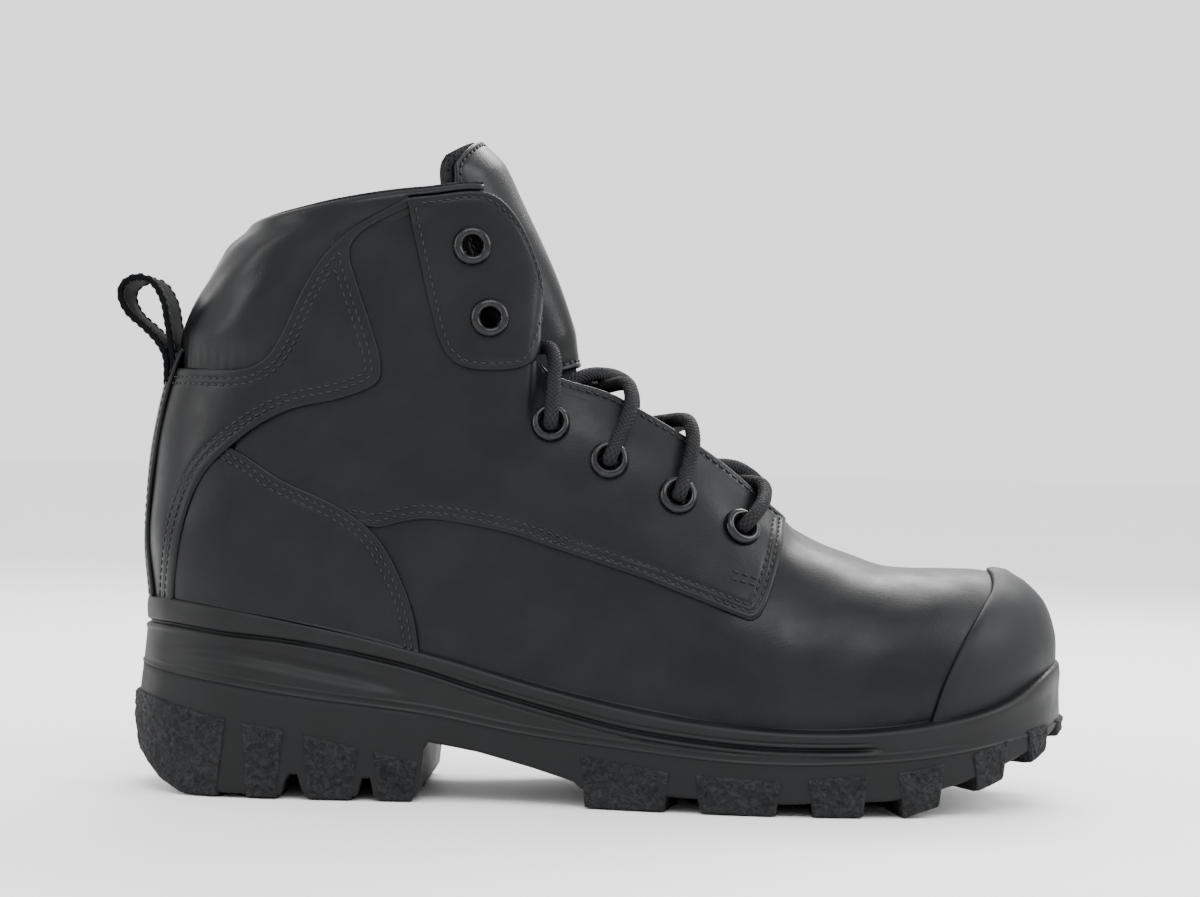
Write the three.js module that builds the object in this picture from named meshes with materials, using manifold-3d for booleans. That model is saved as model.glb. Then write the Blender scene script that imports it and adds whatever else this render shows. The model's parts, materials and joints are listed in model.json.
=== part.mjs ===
// Steel toe work boot, right foot, six inches high, laced through four of its six eyelet pairs.
// Millimetres. +X points to the toe, +Z up, -Y is the outer (lateral) side of the foot.
// The origin is the middle of the heel tread, on the ground.

import * as THREE from 'three';
import Module from 'manifold-3d';
import { mergeVertices } from 'three/addons/utils/BufferGeometryUtils.js';

const manifold = await Module();
manifold.setup();

// ---------------------------------------------------------------- driving dimensions
const BOOT_LENGTH = 310;          // outsole, heel to toe
const BOOT_WIDTH = 114;           // outsole at the ball of the foot
const COLLAR_HEIGHT = 194;        // front corner of the collar above the ground
const HEEL_CENTRE = 50;           // heel tread centre, from the back of the heel
const TOE_SWING = 8;              // how far the toe turns in towards the other foot

const LEATHER = 2.0;              // upper leather
const STIFFENER = 1.7;            // steel cap, heel counter, collar foam and flap backing
const LINING = 1.0;               // textile lining
const CLEARANCE = 0.3;            // between pieces that lie against each other
const BUMPER = 2.2;               // rubber scuff cap over the toe
const BOARD = 2.0;                // insole board
const FOOTBED = 4.5;              // removable footbed
const SHANK = 1.6;                // steel shank thickness
const SHANK_WIDTH = 18;
const LUG_DEPTH = 7;              // tread groove height
const GROOVE_WIDTH = 6;
const LUG_REACH = 17;             // how far a groove runs in from the edge

const EYELET_FLANGE = 6.3;        // radii
const EYELET_BARREL = 4.0;
const EYELET_BORE = 3.2;
const EYELET_RIM = 1.3;           // flange height
const EYELET_SEAT = 0.9;          // flange clear of the curved leather under it
const LACE_DIAMETER = 4.6;
const TIP_DIAMETER = 5.2;
const TIP_LENGTH = 22;

const TONGUE_COVER = 1.5;
const TONGUE_FOAM = 4.0;
const TONGUE_LINING = 1.0;
const GUSSET = 0.8;               // gusset fabric
const GUSSET_DROP = 6;            // how far its wall seam lies below the tongue's wing
const GUSSET_SEAT = 0.8;          // clear of the tongue's wing and of the lining
const FLAP_ROOM = 0.5;            // more room round each eyestay flap, which turns past the quarter
const BACKING_INSET = 1.2;        // how far a flap's backing stays inside the flap's edge
const STRAP_WIDTH = 26;           // pull loop and backstay strap
const STRAP_THICKNESS = 2.0;

// The shape below is drawn for a boot 310 long, 114 wide and 194 high; fit() takes it to size.
const DRAWN = { length: 310, width: 114, collar: 194, ankle: 70 };
const stretchX = BOOT_LENGTH / DRAWN.length;
const stretchY = BOOT_WIDTH / DRAWN.width;
const stretchZ = (COLLAR_HEIGHT - DRAWN.ankle) / (DRAWN.collar - DRAWN.ankle);
const fitX = (x) => x * stretchX;
const fitZ = (z) => (z < DRAWN.ankle ? z : DRAWN.ankle + (z - DRAWN.ankle) * stretchZ);
const fit = ([x, y, z]) => [fitX(x), y * stretchY, fitZ(z)];
const fitSide = ([x, z]) => [fitX(x), fitZ(z)];

// ---------------------------------------------------------------- the last: ribs of the upper
// Each rib runs from the sole's rim to the top line, on one side of the boot; the ribs go from
// the toe's middle round to the heel's middle. y is the distance from the middle plane.
const RIBS = [
  [[305, 0, 45], [304.5, 0, 56], [300, 0, 66.5], [291, 0, 73.5], [281, 0, 76.2], [270, 0, 76.6]],
  [[298, 22, 40], [297.5, 22, 52], [293, 20.5, 63], [285, 16, 71], [276, 9, 75.5], [266, 0, 76.5]],
  [[280, 38.5, 33], [279.5, 39, 47], [276, 36.5, 58], [270, 29.5, 67.5], [264, 17, 74], [258, 0, 76.4]],
  [[255, 47, 28.5], [254.5, 47.5, 42], [252, 44.5, 54], [248.5, 36, 65.5], [246, 21, 74], [244, 0, 78.4]],
  [[228, 50, 26.5], [228, 50, 40], [226.5, 46.5, 54], [225, 37.5, 67.5], [223.5, 22, 79.5], [222, 0, 87]],
  [[203, 48.5, 27], [203.5, 48, 42], [204.5, 44.5, 57], [207, 36.5, 72], [210, 26, 85], [213, 10, 94]],
  [[182, 45, 29.5], [182.5, 44.5, 48], [184, 42, 65], [186, 37.5, 82], [188, 31, 98], [190, 20, 113]],
  [[155, 41, 34], [155.5, 40.5, 55], [156.5, 39, 75], [158, 36.5, 95], [159, 31.5, 114],
    [160, 21.5, 130.5]],
  [[135, 38.5, 38.5], [135, 38, 60], [135, 36.7, 82], [135, 34.4, 104], [134.5, 30.5, 124],
    [134, 24, 141.5]],
  [[118, 36.5, 42.5], [119, 36.5, 69], [121.5, 35.4, 96], [125, 33.3, 122], [129, 29.8, 148],
    [132, 24.5, 173]],
  [[100, 36, 47], [101, 36.7, 76], [104, 35, 106], [108, 33.5, 136], [113, 31.5, 166], [119, 28.2, 194.5]],
  [[80, 36, 52], [80.5, 37, 80], [82, 35.2, 108], [85, 34, 136], [90, 33.8, 165], [95, 33.5, 193.5]],
  [[56, 36, 57], [56, 37.5, 82], [57, 35.5, 108], [60, 33.8, 135], [65, 34.5, 162], [70, 35.5, 189.5]],
  [[33, 32, 60.5], [31, 33.5, 84], [32, 30.8, 108], [35, 28.8, 133], [41.5, 29, 160], [50, 29, 185.5]],
  [[16, 21, 62.5], [14, 22.5, 85], [15, 19.8, 108], [19, 18, 133], [29, 17.5, 160], [41, 16, 184.2]],
  [[8.5, 0, 63], [7, 0, 85], [8.5, 0, 110], [13, 0, 135], [23.5, 0, 160], [37, 0, 183.6]],
].map((rib) => rib.map(fit));

const ROWS = RIBS[0].length - 1;
const RIB_COUNT = RIBS.length - 1;
const THROAT_RIB = 4;             // up to this rib the two sides meet along the middle
const COLUMNS = 2;                // mesh steps between two ribs

const spline = (a, b, c, d, t) => 0.5 * (2 * b + (c - a) * t
  + (2 * a - 5 * b + 4 * c - d) * t * t + (3 * b - a - 3 * c + d) * t * t * t);
const spline3 = (a, b, c, d, t) => [0, 1, 2].map((k) => spline(a[k], b[k], c[k], d[k], t));
const mirrored = ([x, y, z]) => [x, -y, z];
const beyond = (end, before) => end.map((value, k) => 2 * value - before[k]);

function ribPoint(rib, v) {
  const row = Math.min(Math.floor(v), ROWS - 1);
  const before = row > 0 ? rib[row - 1] : beyond(rib[0], rib[1]);
  const closed = rib[ROWS][1] === 0 && rib[0][1] !== 0;
  const last = closed ? mirrored(rib[ROWS - 1]) : beyond(rib[ROWS], rib[ROWS - 1]);
  const after = row + 2 <= ROWS ? rib[row + 2] : last;
  return spline3(before, rib[row], rib[row + 1], after, v - row);
}

function ribAt(index) {
  if (index < 0) return RIBS[-index].map(mirrored);
  if (index > RIB_COUNT) return RIBS[2 * RIB_COUNT - index].map(mirrored);
  return RIBS[index];
}

// The leather's outer face at rib u, height v, on the +Y side.
function skin(u, v) {
  const index = Math.min(Math.floor(u), RIB_COUNT - 1);
  const four = [-1, 0, 1, 2].map((step) => ribPoint(ribAt(index + step), v));
  return new THREE.Vector3(...spline3(...four, u - index));
}

// True where the two sides of the boot meet: toe, heel and the closed top of the vamp.
const onMiddle = (u, v) => u === 0 || u === RIB_COUNT || (v === ROWS && u <= THROAT_RIB);

function skinNormal(u, v) {
  const step = 0.02;
  const along = skin(Math.min(u + step, RIB_COUNT), v).sub(skin(Math.max(u - step, 0), v));
  const up = skin(u, Math.min(v + step, ROWS)).sub(skin(u, Math.max(v - step, 0)));
  const normal = along.cross(up);
  if (onMiddle(u, v)) normal.y = 0;
  return normal.normalize();
}

// A point under the skin by depth, on side +1 or -1 of the boot.
function under(u, v, depth, side) {
  const point = skin(u, v).addScaledVector(skinNormal(u, v), -depth);
  point.y = onMiddle(u, v) ? 0 : point.y * side;
  return point;
}

// The rib and height of the skin point at (x, z) in the side view.
function locate(x, z) {
  let best = { miss: Infinity };
  for (let u = 0; u <= RIB_COUNT; u += 0.125) {
    for (let v = 0; v <= ROWS; v += 0.125) {
      const point = skin(u, v);
      const miss = Math.hypot(point.x - x, point.z - z);
      if (miss < best.miss) best = { u, v, miss };
    }
  }
  for (let reach = 0.06; reach > 0.0005; reach /= 2) {
    for (const [du, dv] of [[1, 0], [-1, 0], [0, 1], [0, -1], [1, 1], [-1, -1], [1, -1], [-1, 1]]) {
      const u = THREE.MathUtils.clamp(best.u + du * reach, 0, RIB_COUNT);
      const v = THREE.MathUtils.clamp(best.v + dv * reach, 0, ROWS);
      const point = skin(u, v);
      const miss = Math.hypot(point.x - x, point.z - z);
      if (miss < best.miss) best = { u, v, miss };
    }
  }
  return best;
}

// ---------------------------------------------------------------- lines of the sole, side view
const sideLine = (points) => {
  const drawn = points.map(fitSide);
  const curve = new THREE.SplineCurve(drawn.map(([x, z]) => new THREE.Vector2(x, z)));
  return curve.getPoints(points.length * 2).map((p) => [p.x, p.y]);
};
const RIM = sideLine([[-8, 63], [20, 62], [60, 56.3], [100, 47.5], [140, 37], [180, 29.3], [220, 26.2],
  [255, 28], [285, 34.5], [305, 44.5], [318, 51]]);
const FLOOR = sideLine([[-8, 46], [40, 45], [80, 42], [120, 33.5], [160, 25.5], [200, 21.5], [240, 21.5],
  [280, 25.5], [318, 33]]);
const PARTING = sideLine([[-8, 42], [28, 37], [60, 32.5], [100, 28], [131, 22.6], [160, 19.5],
  [200, 16.2], [235, 16.5], [270, 19.7], [318, 29]]);
const GROUND = [[1, 22], [5, 12], [14, 4], [22, 0], [99, 0], [101, 19.2], [118, 16.3], [135, 12],
  [149, 8], [151, 0], [254, 0], [268, 4.2], [282, 9.5], [298, 16.5], [311, 25]].map(fitSide);

const height = (line, x) => {
  const next = Math.max(line.findIndex((point) => point[0] > x), 1);
  const [x0, z0] = line[next - 1];
  const [x1, z1] = line[next];
  return z0 + (z1 - z0) * (x - x0) / (x1 - x0);
};

// ---------------------------------------------------------------- solids, joins and cuts
function toSolid(geometry) {
  const bare = new THREE.BufferGeometry();
  bare.setAttribute('position', geometry.getAttribute('position'));
  if (geometry.index) bare.setIndex(geometry.index);
  const merged = mergeVertices(bare, 1e-4);
  const kept = [];
  const corners = merged.index.array;
  for (let i = 0; i < corners.length; i += 3) {
    const [a, b, c] = corners.slice(i, i + 3);
    if (a !== b && b !== c && a !== c) kept.push(a, b, c);
  }
  const mesh = new manifold.Mesh({
    numProp: 3,
    vertProperties: merged.getAttribute('position').array,
    triVerts: new Uint32Array(kept),
  });
  return new manifold.Manifold(mesh);
}

function toGeometry(solid) {
  const mesh = solid.getMesh();
  const geometry = new THREE.BufferGeometry();
  geometry.setAttribute('position', new THREE.BufferAttribute(mesh.vertProperties, 3));
  geometry.setIndex(new THREE.BufferAttribute(mesh.triVerts, 1));
  return geometry;
}

function fromQuads(quads) {
  const positions = [];
  for (const [a, b, c, d] of quads) {
    for (const corner of [a, b, c, a, c, d]) positions.push(corner.x, corner.y, corner.z);
  }
  const geometry = new THREE.BufferGeometry();
  geometry.setAttribute('position', new THREE.Float32BufferAttribute(positions, 3));
  return toSolid(geometry);
}

// A solid with the given side-view outline, between two distances from the middle plane.
function sideSolid(outline, from, to) {
  const shape = new THREE.Shape(outline.map(([x, z]) => new THREE.Vector2(x, z)));
  const geometry = new THREE.ExtrudeGeometry(shape, { depth: to - from, bevelEnabled: false });
  geometry.rotateX(Math.PI / 2);
  geometry.translate(0, to, 0);
  return toSolid(geometry);
}

// A solid with the given outline in plan, between two heights.
function planSolid(outline, from, to) {
  const shape = new THREE.Shape(outline.map(([x, y]) => new THREE.Vector2(x, y)));
  const geometry = new THREE.ExtrudeGeometry(shape, { depth: to - from, bevelEnabled: false });
  geometry.translate(0, 0, from);
  return toSolid(geometry);
}

// Moves an outline outwards by a distance, or inwards by a negative one.
function grown(outline, by) {
  const turning = THREE.ShapeUtils.area(outline.map(([x, y]) => new THREE.Vector2(x, y))) > 0 ? 1 : -1;
  return outline.map(([x, y], i) => {
    const before = outline[(i + outline.length - 1) % outline.length];
    const after = outline[(i + 1) % outline.length];
    const length = Math.hypot(after[0] - before[0], after[1] - before[1]) || 1;
    return [x + turning * by * (after[1] - before[1]) / length,
      y - turning * by * (after[0] - before[0]) / length];
  });
}

// ---------------------------------------------------------------- the upper's layers
// One layer of the upper, between two depths under the skin, down into the sole's cup.
function layer(outer, inner) {
  const across = RIB_COUNT * COLUMNS;
  const tall = ROWS;
  const grid = (depth, side) => {
    const columns = [];
    for (let i = 0; i <= across; i += 1) {
      const column = [];
      for (let j = 0; j <= tall; j += 1) column.push(under(i / COLUMNS, j, depth, side));
      const foot = column[0].clone();
      foot.z = height(FLOOR, foot.x) + CLEARANCE;
      column.unshift(foot);
      columns.push(column);
    }
    return columns;
  };
  const quads = [];
  for (const side of [1, -1]) {
    const out = grid(outer, side);
    const ins = grid(inner, side);
    const face = (a, b, c, d) => quads.push(side > 0 ? [a, b, c, d] : [c, b, a, d]);
    for (let i = 0; i < across; i += 1) {
      for (let j = 0; j <= tall; j += 1) {
        face(out[i][j], out[i + 1][j], out[i + 1][j + 1], out[i][j + 1]);
        face(ins[i + 1][j + 1], ins[i + 1][j], ins[i][j], ins[i][j + 1]);
      }
      face(ins[i][0], ins[i + 1][0], out[i + 1][0], out[i][0]);
      const top = tall + 1;
      const open = i >= THROAT_RIB * COLUMNS;
      if (open) face(out[i][top], out[i + 1][top], ins[i + 1][top], ins[i][top]);
    }
  }
  return fromQuads(quads);
}

// ---------------------------------------------------------------- seam lines, side view
const seam = (points, smoothness = 2) => {
  const curve = new THREE.SplineCurve(points.map(fitSide).map(([x, z]) => new THREE.Vector2(x, z)));
  return curve.getPoints((points.length - 1) * smoothness).map((p) => [p.x, p.y]);
};
const corner = (...points) => points.map(fitSide);
const PATCH = [...seam([[90, 199], [92, 188], [95, 175.4], [98.6, 161], [102.2, 148.5], [106, 142],
  [113, 138.5], [127, 138.8], [132, 143], [134.5, 156]]), ...corner([145, 170], [145, 215], [90, 215])];
const COLLAR = [...seam([[90, 192.5], [82.9, 188.5], [73.4, 182.5], [64.6, 173.2], [59.3, 164.4],
  [54.7, 154.7], [50.7, 146], [46, 140], [38, 137], [20.6, 137], [-10, 137]]),
...corner([-20, 215], [89, 215])];
const ANKLE = [...seam([[86, 185], [79, 178.5], [82, 165], [84.5, 152], [86, 140], [83.5, 133], [71, 128],
  [58.2, 125], [48.7, 121], [39.1, 114.3], [28, 102.8], [22, 88], [19, 69], [18.5, 58], [18.5, 44]]),
...corner([18.5, 20], [-20, 20], [-20, 215], [90, 215])];
const HEEL = [...seam([[10, 119], [35.6, 112], [52.6, 102], [65.6, 96.5], [77, 90.3], [85, 83],
  [91.5, 72], [96.5, 59], [99, 44]]), ...corner([99, 20], [-20, 20], [-20, 119])];
const VAMP = [...seam([[76, 88], [84, 87], [92.2, 89], [102, 90], [124, 86.6], [143, 81], [168.7, 73],
  [188, 66], [204, 60]]), ...seam([[207, 61.5], [210, 68], [213.5, 80], [215.5, 92]]),
...corner([216, 130], [330, 130], [330, 5], [76, 5])];
const BUMPER_EDGE = [[276, 84], [283, 77], [286, 74], [285, 70], [279, 67], [272.5, 56], [266, 42],
  [262, 30]];
const BUMPER_REAR = 263;          // where its edge meets the sole's rim

const WIDE = 90;                  // wider than the boot, for cutting solids
const cut = (outline, side, grow = 0) => {
  const shape = grow ? grown(outline, grow) : outline;
  if (side > 0) return sideSolid(shape, CLEARANCE / 2, WIDE);
  if (side < 0) return sideSolid(shape, -WIDE, -CLEARANCE / 2);
  return sideSolid(shape, -WIDE, WIDE);
};
// The part of a layer inside one outline and clear of the outlines that lie over it.
const panel = (stock, outline, side, ...over) => {
  let piece = outline ? stock.intersect(cut(outline, side)) : stock.intersect(half(side));
  for (const other of over) piece = piece.subtract(cut(other, 0, CLEARANCE));
  return piece;
};
const half = (side) => cut(corner([-40, -20], [360, -20], [360, 240], [-40, 240]), side);

const DEPTH = {
  leather: [0, LEATHER],
  stiffener: [LEATHER + CLEARANCE, LEATHER + CLEARANCE + STIFFENER],
  lining: [LEATHER + STIFFENER + 2 * CLEARANCE, LEATHER + STIFFENER + LINING + 2 * CLEARANCE],
  bumper: [-CLEARANCE - BUMPER, -CLEARANCE],
};
const leather = layer(...DEPTH.leather);
const stiffener = layer(...DEPTH.stiffener);
const lining = layer(...DEPTH.lining);

// ---------------------------------------------------------------- eyelets
// Side-view places, from the ankle down to the throat; the first two pairs sit in the flaps.
const EYELETS = [[112, 178], [118.2, 155], [138.6, 121.5], [157.8, 110], [180, 99], [200.5, 89]];
const eyeletSeats = EYELETS.map(([x, z]) => {
  const { u, v } = locate(fitX(x), fitZ(z));
  return { point: skin(u, v), normal: skinNormal(u, v) };
});

function eyeletSeat(index, side) {
  const { point, normal } = eyeletSeats[index];
  const place = new THREE.Matrix4();
  const facing = new THREE.Vector3(normal.x, normal.y * side, normal.z);
  const turn = new THREE.Quaternion().setFromUnitVectors(new THREE.Vector3(0, 0, 1), facing);
  const at = new THREE.Vector3(point.x, point.y * side, point.z);
  return place.compose(at, turn, new THREE.Vector3(1, 1, 1));
}

function lathe(profile, segments) {
  const points = [...profile, profile[0]].map(([radius, z]) => new THREE.Vector2(radius, z));
  return new THREE.LatheGeometry(points, segments).rotateX(Math.PI / 2);
}

function eyelet(index, side) {
  const barrelEnd = -(LEATHER + STIFFENER + CLEARANCE);
  const seat = EYELET_SEAT;
  const profile = [[EYELET_BORE, barrelEnd], [EYELET_BARREL, barrelEnd], [EYELET_BARREL, seat],
    [EYELET_FLANGE, seat], [EYELET_FLANGE - 0.6, seat + EYELET_RIM],
    [EYELET_BORE + 0.8, seat + EYELET_RIM], [EYELET_BORE, seat]];
  return lathe(profile, 10).applyMatrix4(eyeletSeat(index, side));
}

function punched(piece, indices, sides) {
  let result = piece;
  for (const index of indices) {
    for (const side of sides) {
      const radius = EYELET_BARREL + CLEARANCE;
      const drill = new THREE.CylinderGeometry(radius, radius, 24, 16).rotateX(Math.PI / 2);
      result = result.subtract(toSolid(drill.applyMatrix4(eyeletSeat(index, side))));
    }
  }
  return result;
}

// ---------------------------------------------------------------- the upper
const names = { 1: 'medial', '-1': 'lateral' };
const pieces = [];
const finishes = {
  leather: { color: 0x1d1b1a, roughness: 0.42, metalness: 0 },
  rubber: { color: 0x141414, roughness: 0.7, metalness: 0 },
  textile: { color: 0x26272a, roughness: 0.95, metalness: 0 },
  foam: { color: 0x4a4a4c, roughness: 0.95, metalness: 0 },
  steel: { color: 0x8d9094, roughness: 0.35, metalness: 1 },
  blackMetal: { color: 0x17171a, roughness: 0.3, metalness: 1 },
  fibre: { color: 0x6b5a44, roughness: 0.9, metalness: 0 },
};
const add = (name, shape, finish) => {
  const geometry = shape.isBufferGeometry ? shape : toGeometry(shape);
  pieces.push({ name, geometry, finish });
};

function upper() {
  for (const side of [-1, 1]) {
    const name = names[side];
    const quarter = panel(leather, null, side, PATCH, COLLAR, ANKLE, HEEL, VAMP);
    add(`quarter_${name}`, punched(quarter, [2, 3, 4, 5], [side]), 'leather');
    add(`heel_panel_${name}`, panel(leather, HEEL, side, ANKLE), 'leather');
    add(`ankle_panel_${name}`, panel(leather, ANKLE, side, COLLAR, PATCH), 'leather');
    const flap = panel(leather, grown(PATCH, -FLAP_ROOM), side);
    const backing = panel(stiffener, grown(PATCH, -FLAP_ROOM - BACKING_INSET), side);
    add(`eyestay_flap_${name}`, punched(flap, [0, 1], [side]), 'leather');
    add(`flap_backing_${name}`, punched(backing, [0, 1], [side]), 'textile');
    for (let index = 0; index < EYELETS.length; index += 1) {
      add(`eyelet_${name}_${index + 1}`, eyelet(index, side), 'blackMetal');
    }
  }
  add('vamp', panel(leather, VAMP, 0, HEEL), 'leather');
  add('collar_cover', panel(leather, COLLAR, 0, PATCH), 'leather');
  add('collar_foam', panel(stiffener, COLLAR, 0, PATCH), 'foam');
}

function linings() {
  const split = corner([150, -20], [360, -20], [360, 240], [150, 240]);
  const rear = corner([-40, -20], [150 - CLEARANCE, -20], [150 - CLEARANCE, 240], [-40, 240]);
  add('vamp_lining', punched(panel(lining, split, 0), [3, 4, 5], [1, -1]), 'textile');
  add('shaft_lining', punched(panel(lining, rear, 0, PATCH), [2], [1, -1]), 'textile');
}

const CAP_EDGE = 250;             // rear edge of the steel cap
const CAP_STRIP = 8;              // width of the soft strip behind it

function stiffeners() {
  const slab = (from, to) => [[from, 0], [to, 0], [to, 120], [from, 120]];
  const edge = fitX(CAP_EDGE);
  const cap = slab(edge, fitX(330));
  const strip = slab(edge - CLEARANCE - CAP_STRIP, edge - CLEARANCE);
  add('steel_toe_cap', panel(stiffener, cap, 0), 'steel');
  add('toe_cap_edge_strip', panel(stiffener, strip, 0), 'foam');
  const counter = [...seam([[80, 40], [76, 62], [66, 84], [48, 98], [20, 108], [-10, 110]]),
    ...corner([-10, 30], [80, 30])];
  add('heel_counter', panel(stiffener, counter, 0), 'fibre');
  const rim = RIM.map(([x, z]) => [x, z + CLEARANCE]).filter(([x]) => x > fitX(BUMPER_REAR));
  const bumper = [...seam(BUMPER_EDGE), ...rim, ...corner([330, 60], [330, 100], [276, 100])];
  add('toe_bumper', panel(layer(...DEPTH.bumper), bumper, 0), 'rubber');
}

// ---------------------------------------------------------------- the sole
const SOLE_PLAN = [[1, 0], [3, 12], [12, 27], [28, 37.5], [50, 41], [80, 41], [110, 40.5], [140, 43.5],
  [170, 50], [200, 55.5], [228, 57], [255, 54.5], [280, 46.5], [297, 34], [307, 17], [310, 0]];
const solePlan = () => {
  const drawn = SOLE_PLAN.map(([x, y]) => new THREE.Vector3(x, y, 0));
  const other = SOLE_PLAN.slice(1, -1).reverse().map(([x, y]) => new THREE.Vector3(x, -y, 0));
  const curve = new THREE.CatmullRomCurve3([...drawn, ...other], true, 'centripetal');
  return curve.getPoints(54).slice(0, -1).map((p) => [fitX(p.x), p.y * stretchY]);
};
// The upper's own outline at a depth under the skin, in plan.
const upperPlan = (depth) => {
  const near = [];
  for (let i = 0; i <= RIB_COUNT * COLUMNS; i += 1) {
    const point = under(i / COLUMNS, 0, depth, -1);
    near.push([point.x, point.y]);
  }
  const far = near.slice(1, -1).reverse().map(([x, y]) => [x, -y]);
  return [...near, ...far];
};
// Between two side-view lines, each raised by its own amount.
const between = (low, lowLift, high, highLift) => [
  ...low.map(([x, z]) => [x, z + lowLift]),
  ...[...high].reverse().map(([x, z]) => [x, z + highLift]),
];

const TREAD_GROOVES = [57.5, 81, 183, 218, 246, 271];

function sole() {
  const plan = solePlan();
  const block = planSolid(plan, -5, 90);
  const tread = [...GROUND, [fitX(330), height(PARTING, fitX(311))],
    ...[...PARTING].reverse().filter(([x]) => x < fitX(311)).map(([x, z]) => [x, z - CLEARANCE])];
  let outsole = block.intersect(sideSolid(tread, -WIDE, WIDE));
  for (const x of TREAD_GROOVES) {
    for (const side of [-1, 1]) {
      const near = fitX(x);
      const edge = plan.reduce((widest, [px, py]) => (
        Math.abs(px - near) < 12 ? Math.max(widest, Math.abs(py)) : widest), 0);
      const groove = new THREE.BoxGeometry(GROOVE_WIDTH, LUG_REACH + 10, 2 * LUG_DEPTH);
      groove.translate(near, side * (edge + 5 - LUG_REACH / 2), height(GROUND, near));
      outsole = outsole.subtract(toSolid(groove));
    }
  }
  add('outsole', outsole, 'rubber');

  const shell = block.intersect(sideSolid(between(PARTING, 0, RIM, 0), -WIDE, WIDE));
  const cup = planSolid(upperPlan(-CLEARANCE), -5, 90)
    .intersect(sideSolid(between(FLOOR, 0, FLOOR, 60), -WIDE, WIDE));
  const shankLine = FLOOR.filter(([x]) => x > fitX(60) && x < fitX(182));
  const shankRoom = grown(between(shankLine, -SHANK, shankLine, 0), CLEARANCE);
  const slot = sideSolid(shankRoom, -SHANK_WIDTH / 2 - CLEARANCE, SHANK_WIDTH / 2 + CLEARANCE);
  add('midsole', shell.subtract(cup).subtract(slot), 'rubber');
  add('shank', sideSolid(between(shankLine, -SHANK, shankLine, 0), -SHANK_WIDTH / 2, SHANK_WIDTH / 2),
    'steel');

  const inside = planSolid(upperPlan(DEPTH.lining[1] + CLEARANCE), -5, 90);
  const boardTop = CLEARANCE + BOARD;
  const board = sideSolid(between(FLOOR, CLEARANCE, FLOOR, boardTop), -WIDE, WIDE);
  add('insole_board', inside.intersect(board), 'fibre');
  const bed = sideSolid(between(FLOOR, boardTop + CLEARANCE, FLOOR, boardTop + CLEARANCE + FOOTBED),
    -WIDE, WIDE);
  add('footbed', inside.intersect(bed), 'textile');
}

// ---------------------------------------------------------------- the tongue
// Along the middle: x, z, half width, and how far the wings fall behind the middle.
const TONGUE = [[206, 86, 15, 7], [195, 95, 17, 11], [180, 105, 17, 14], [165, 115, 17, 17],
  [153, 127, 16.5, 21], [147, 141, 16, 25], [142, 156.6, 17.5, 28], [137, 170, 20.5, 29],
  [131.5, 182, 24, 27], [125, 195, 26.5, 24], [119, 207, 27, 18], [112, 216, 26, 11]];
const TONGUE_HINGE = 5;           // the entry where the upper tongue starts

function tongueMiddle(s) {
  const index = THREE.MathUtils.clamp(Math.floor(s), 0, TONGUE.length - 2);
  const entry = (k) => TONGUE[THREE.MathUtils.clamp(k, 0, TONGUE.length - 1)];
  return [0, 1, 2, 3].map((k) => spline(entry(index - 1)[k], entry(index)[k], entry(index + 1)[k],
    entry(index + 2)[k], s - index));
}

function tonguePoint(s, t) {
  const [x, z, width, fall] = tongueMiddle(s);
  const [x0, z0] = tongueMiddle(Math.max(s - 0.2, 0));
  const [x1, z1] = tongueMiddle(Math.min(s + 0.2, TONGUE.length - 1));
  const run = Math.hypot(x1 - x0, z1 - z0);
  const back = fall * t * t;
  return new THREE.Vector3(...fit([x - back * (z1 - z0) / run, width * t, z + back * (x1 - x0) / run]));
}

// A sheet with a thickness, from a surface over two ranges.
function sheet(surface, [s0, s1], [t0, t1], [outer, inner], steps, strips) {
  const point = (i, j, depth) => {
    const s = s0 + (s1 - s0) * i / steps;
    const t = t0 + (t1 - t0) * j / strips;
    const nudge = 0.01;
    const sLow = Math.max(s - nudge, s0);
    const tLow = Math.max(t - nudge, t0);
    const along = surface(sLow + nudge, t).sub(surface(sLow, t));
    const across = surface(s, tLow + nudge).sub(surface(s, tLow));
    const normal = along.cross(across).normalize();
    return surface(s, t).addScaledVector(normal, depth);
  };
  const quads = [];
  for (let i = 0; i < steps; i += 1) {
    for (let j = 0; j < strips; j += 1) {
      const ring = (depth) => [point(i, j, depth), point(i, j + 1, depth),
        point(i + 1, j + 1, depth), point(i + 1, j, depth)];
      const [a, b, c, d] = ring(inner);
      quads.push(ring(outer), [c, b, a, d]);
    }
    quads.push([point(i, 0, outer), point(i + 1, 0, outer), point(i + 1, 0, inner), point(i, 0, inner)]);
    quads.push([point(i, strips, inner), point(i + 1, strips, inner),
      point(i + 1, strips, outer), point(i, strips, outer)]);
  }
  for (let j = 0; j < strips; j += 1) {
    quads.push([point(0, j, inner), point(0, j + 1, inner), point(0, j + 1, outer), point(0, j, outer)]);
    quads.push([point(steps, j, outer), point(steps, j + 1, outer),
      point(steps, j + 1, inner), point(steps, j, inner)]);
  }
  return fromQuads(quads);
}

function tongue() {
  const upperRange = [TONGUE_HINGE, TONGUE.length - 1];
  const lowerRange = [0, TONGUE_HINGE - 0.03];
  const full = [-1, 1];
  const foam = TONGUE_COVER + 2 * CLEARANCE;
  const back = foam + TONGUE_FOAM + CLEARANCE;
  add('tongue_cover', sheet(tonguePoint, upperRange, full, [0, TONGUE_COVER], 9, 8), 'leather');
  add('tongue_foam', sheet(tonguePoint, upperRange, full, [foam, foam + TONGUE_FOAM], 8, 6), 'foam');
  add('tongue_lining', sheet(tonguePoint, upperRange, full, [back, back + TONGUE_LINING], 8, 6),
    'textile');
  add('tongue_base', sheet(tonguePoint, lowerRange, full, [0, foam + TONGUE_FOAM], 7, 6), 'textile');
}

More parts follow.
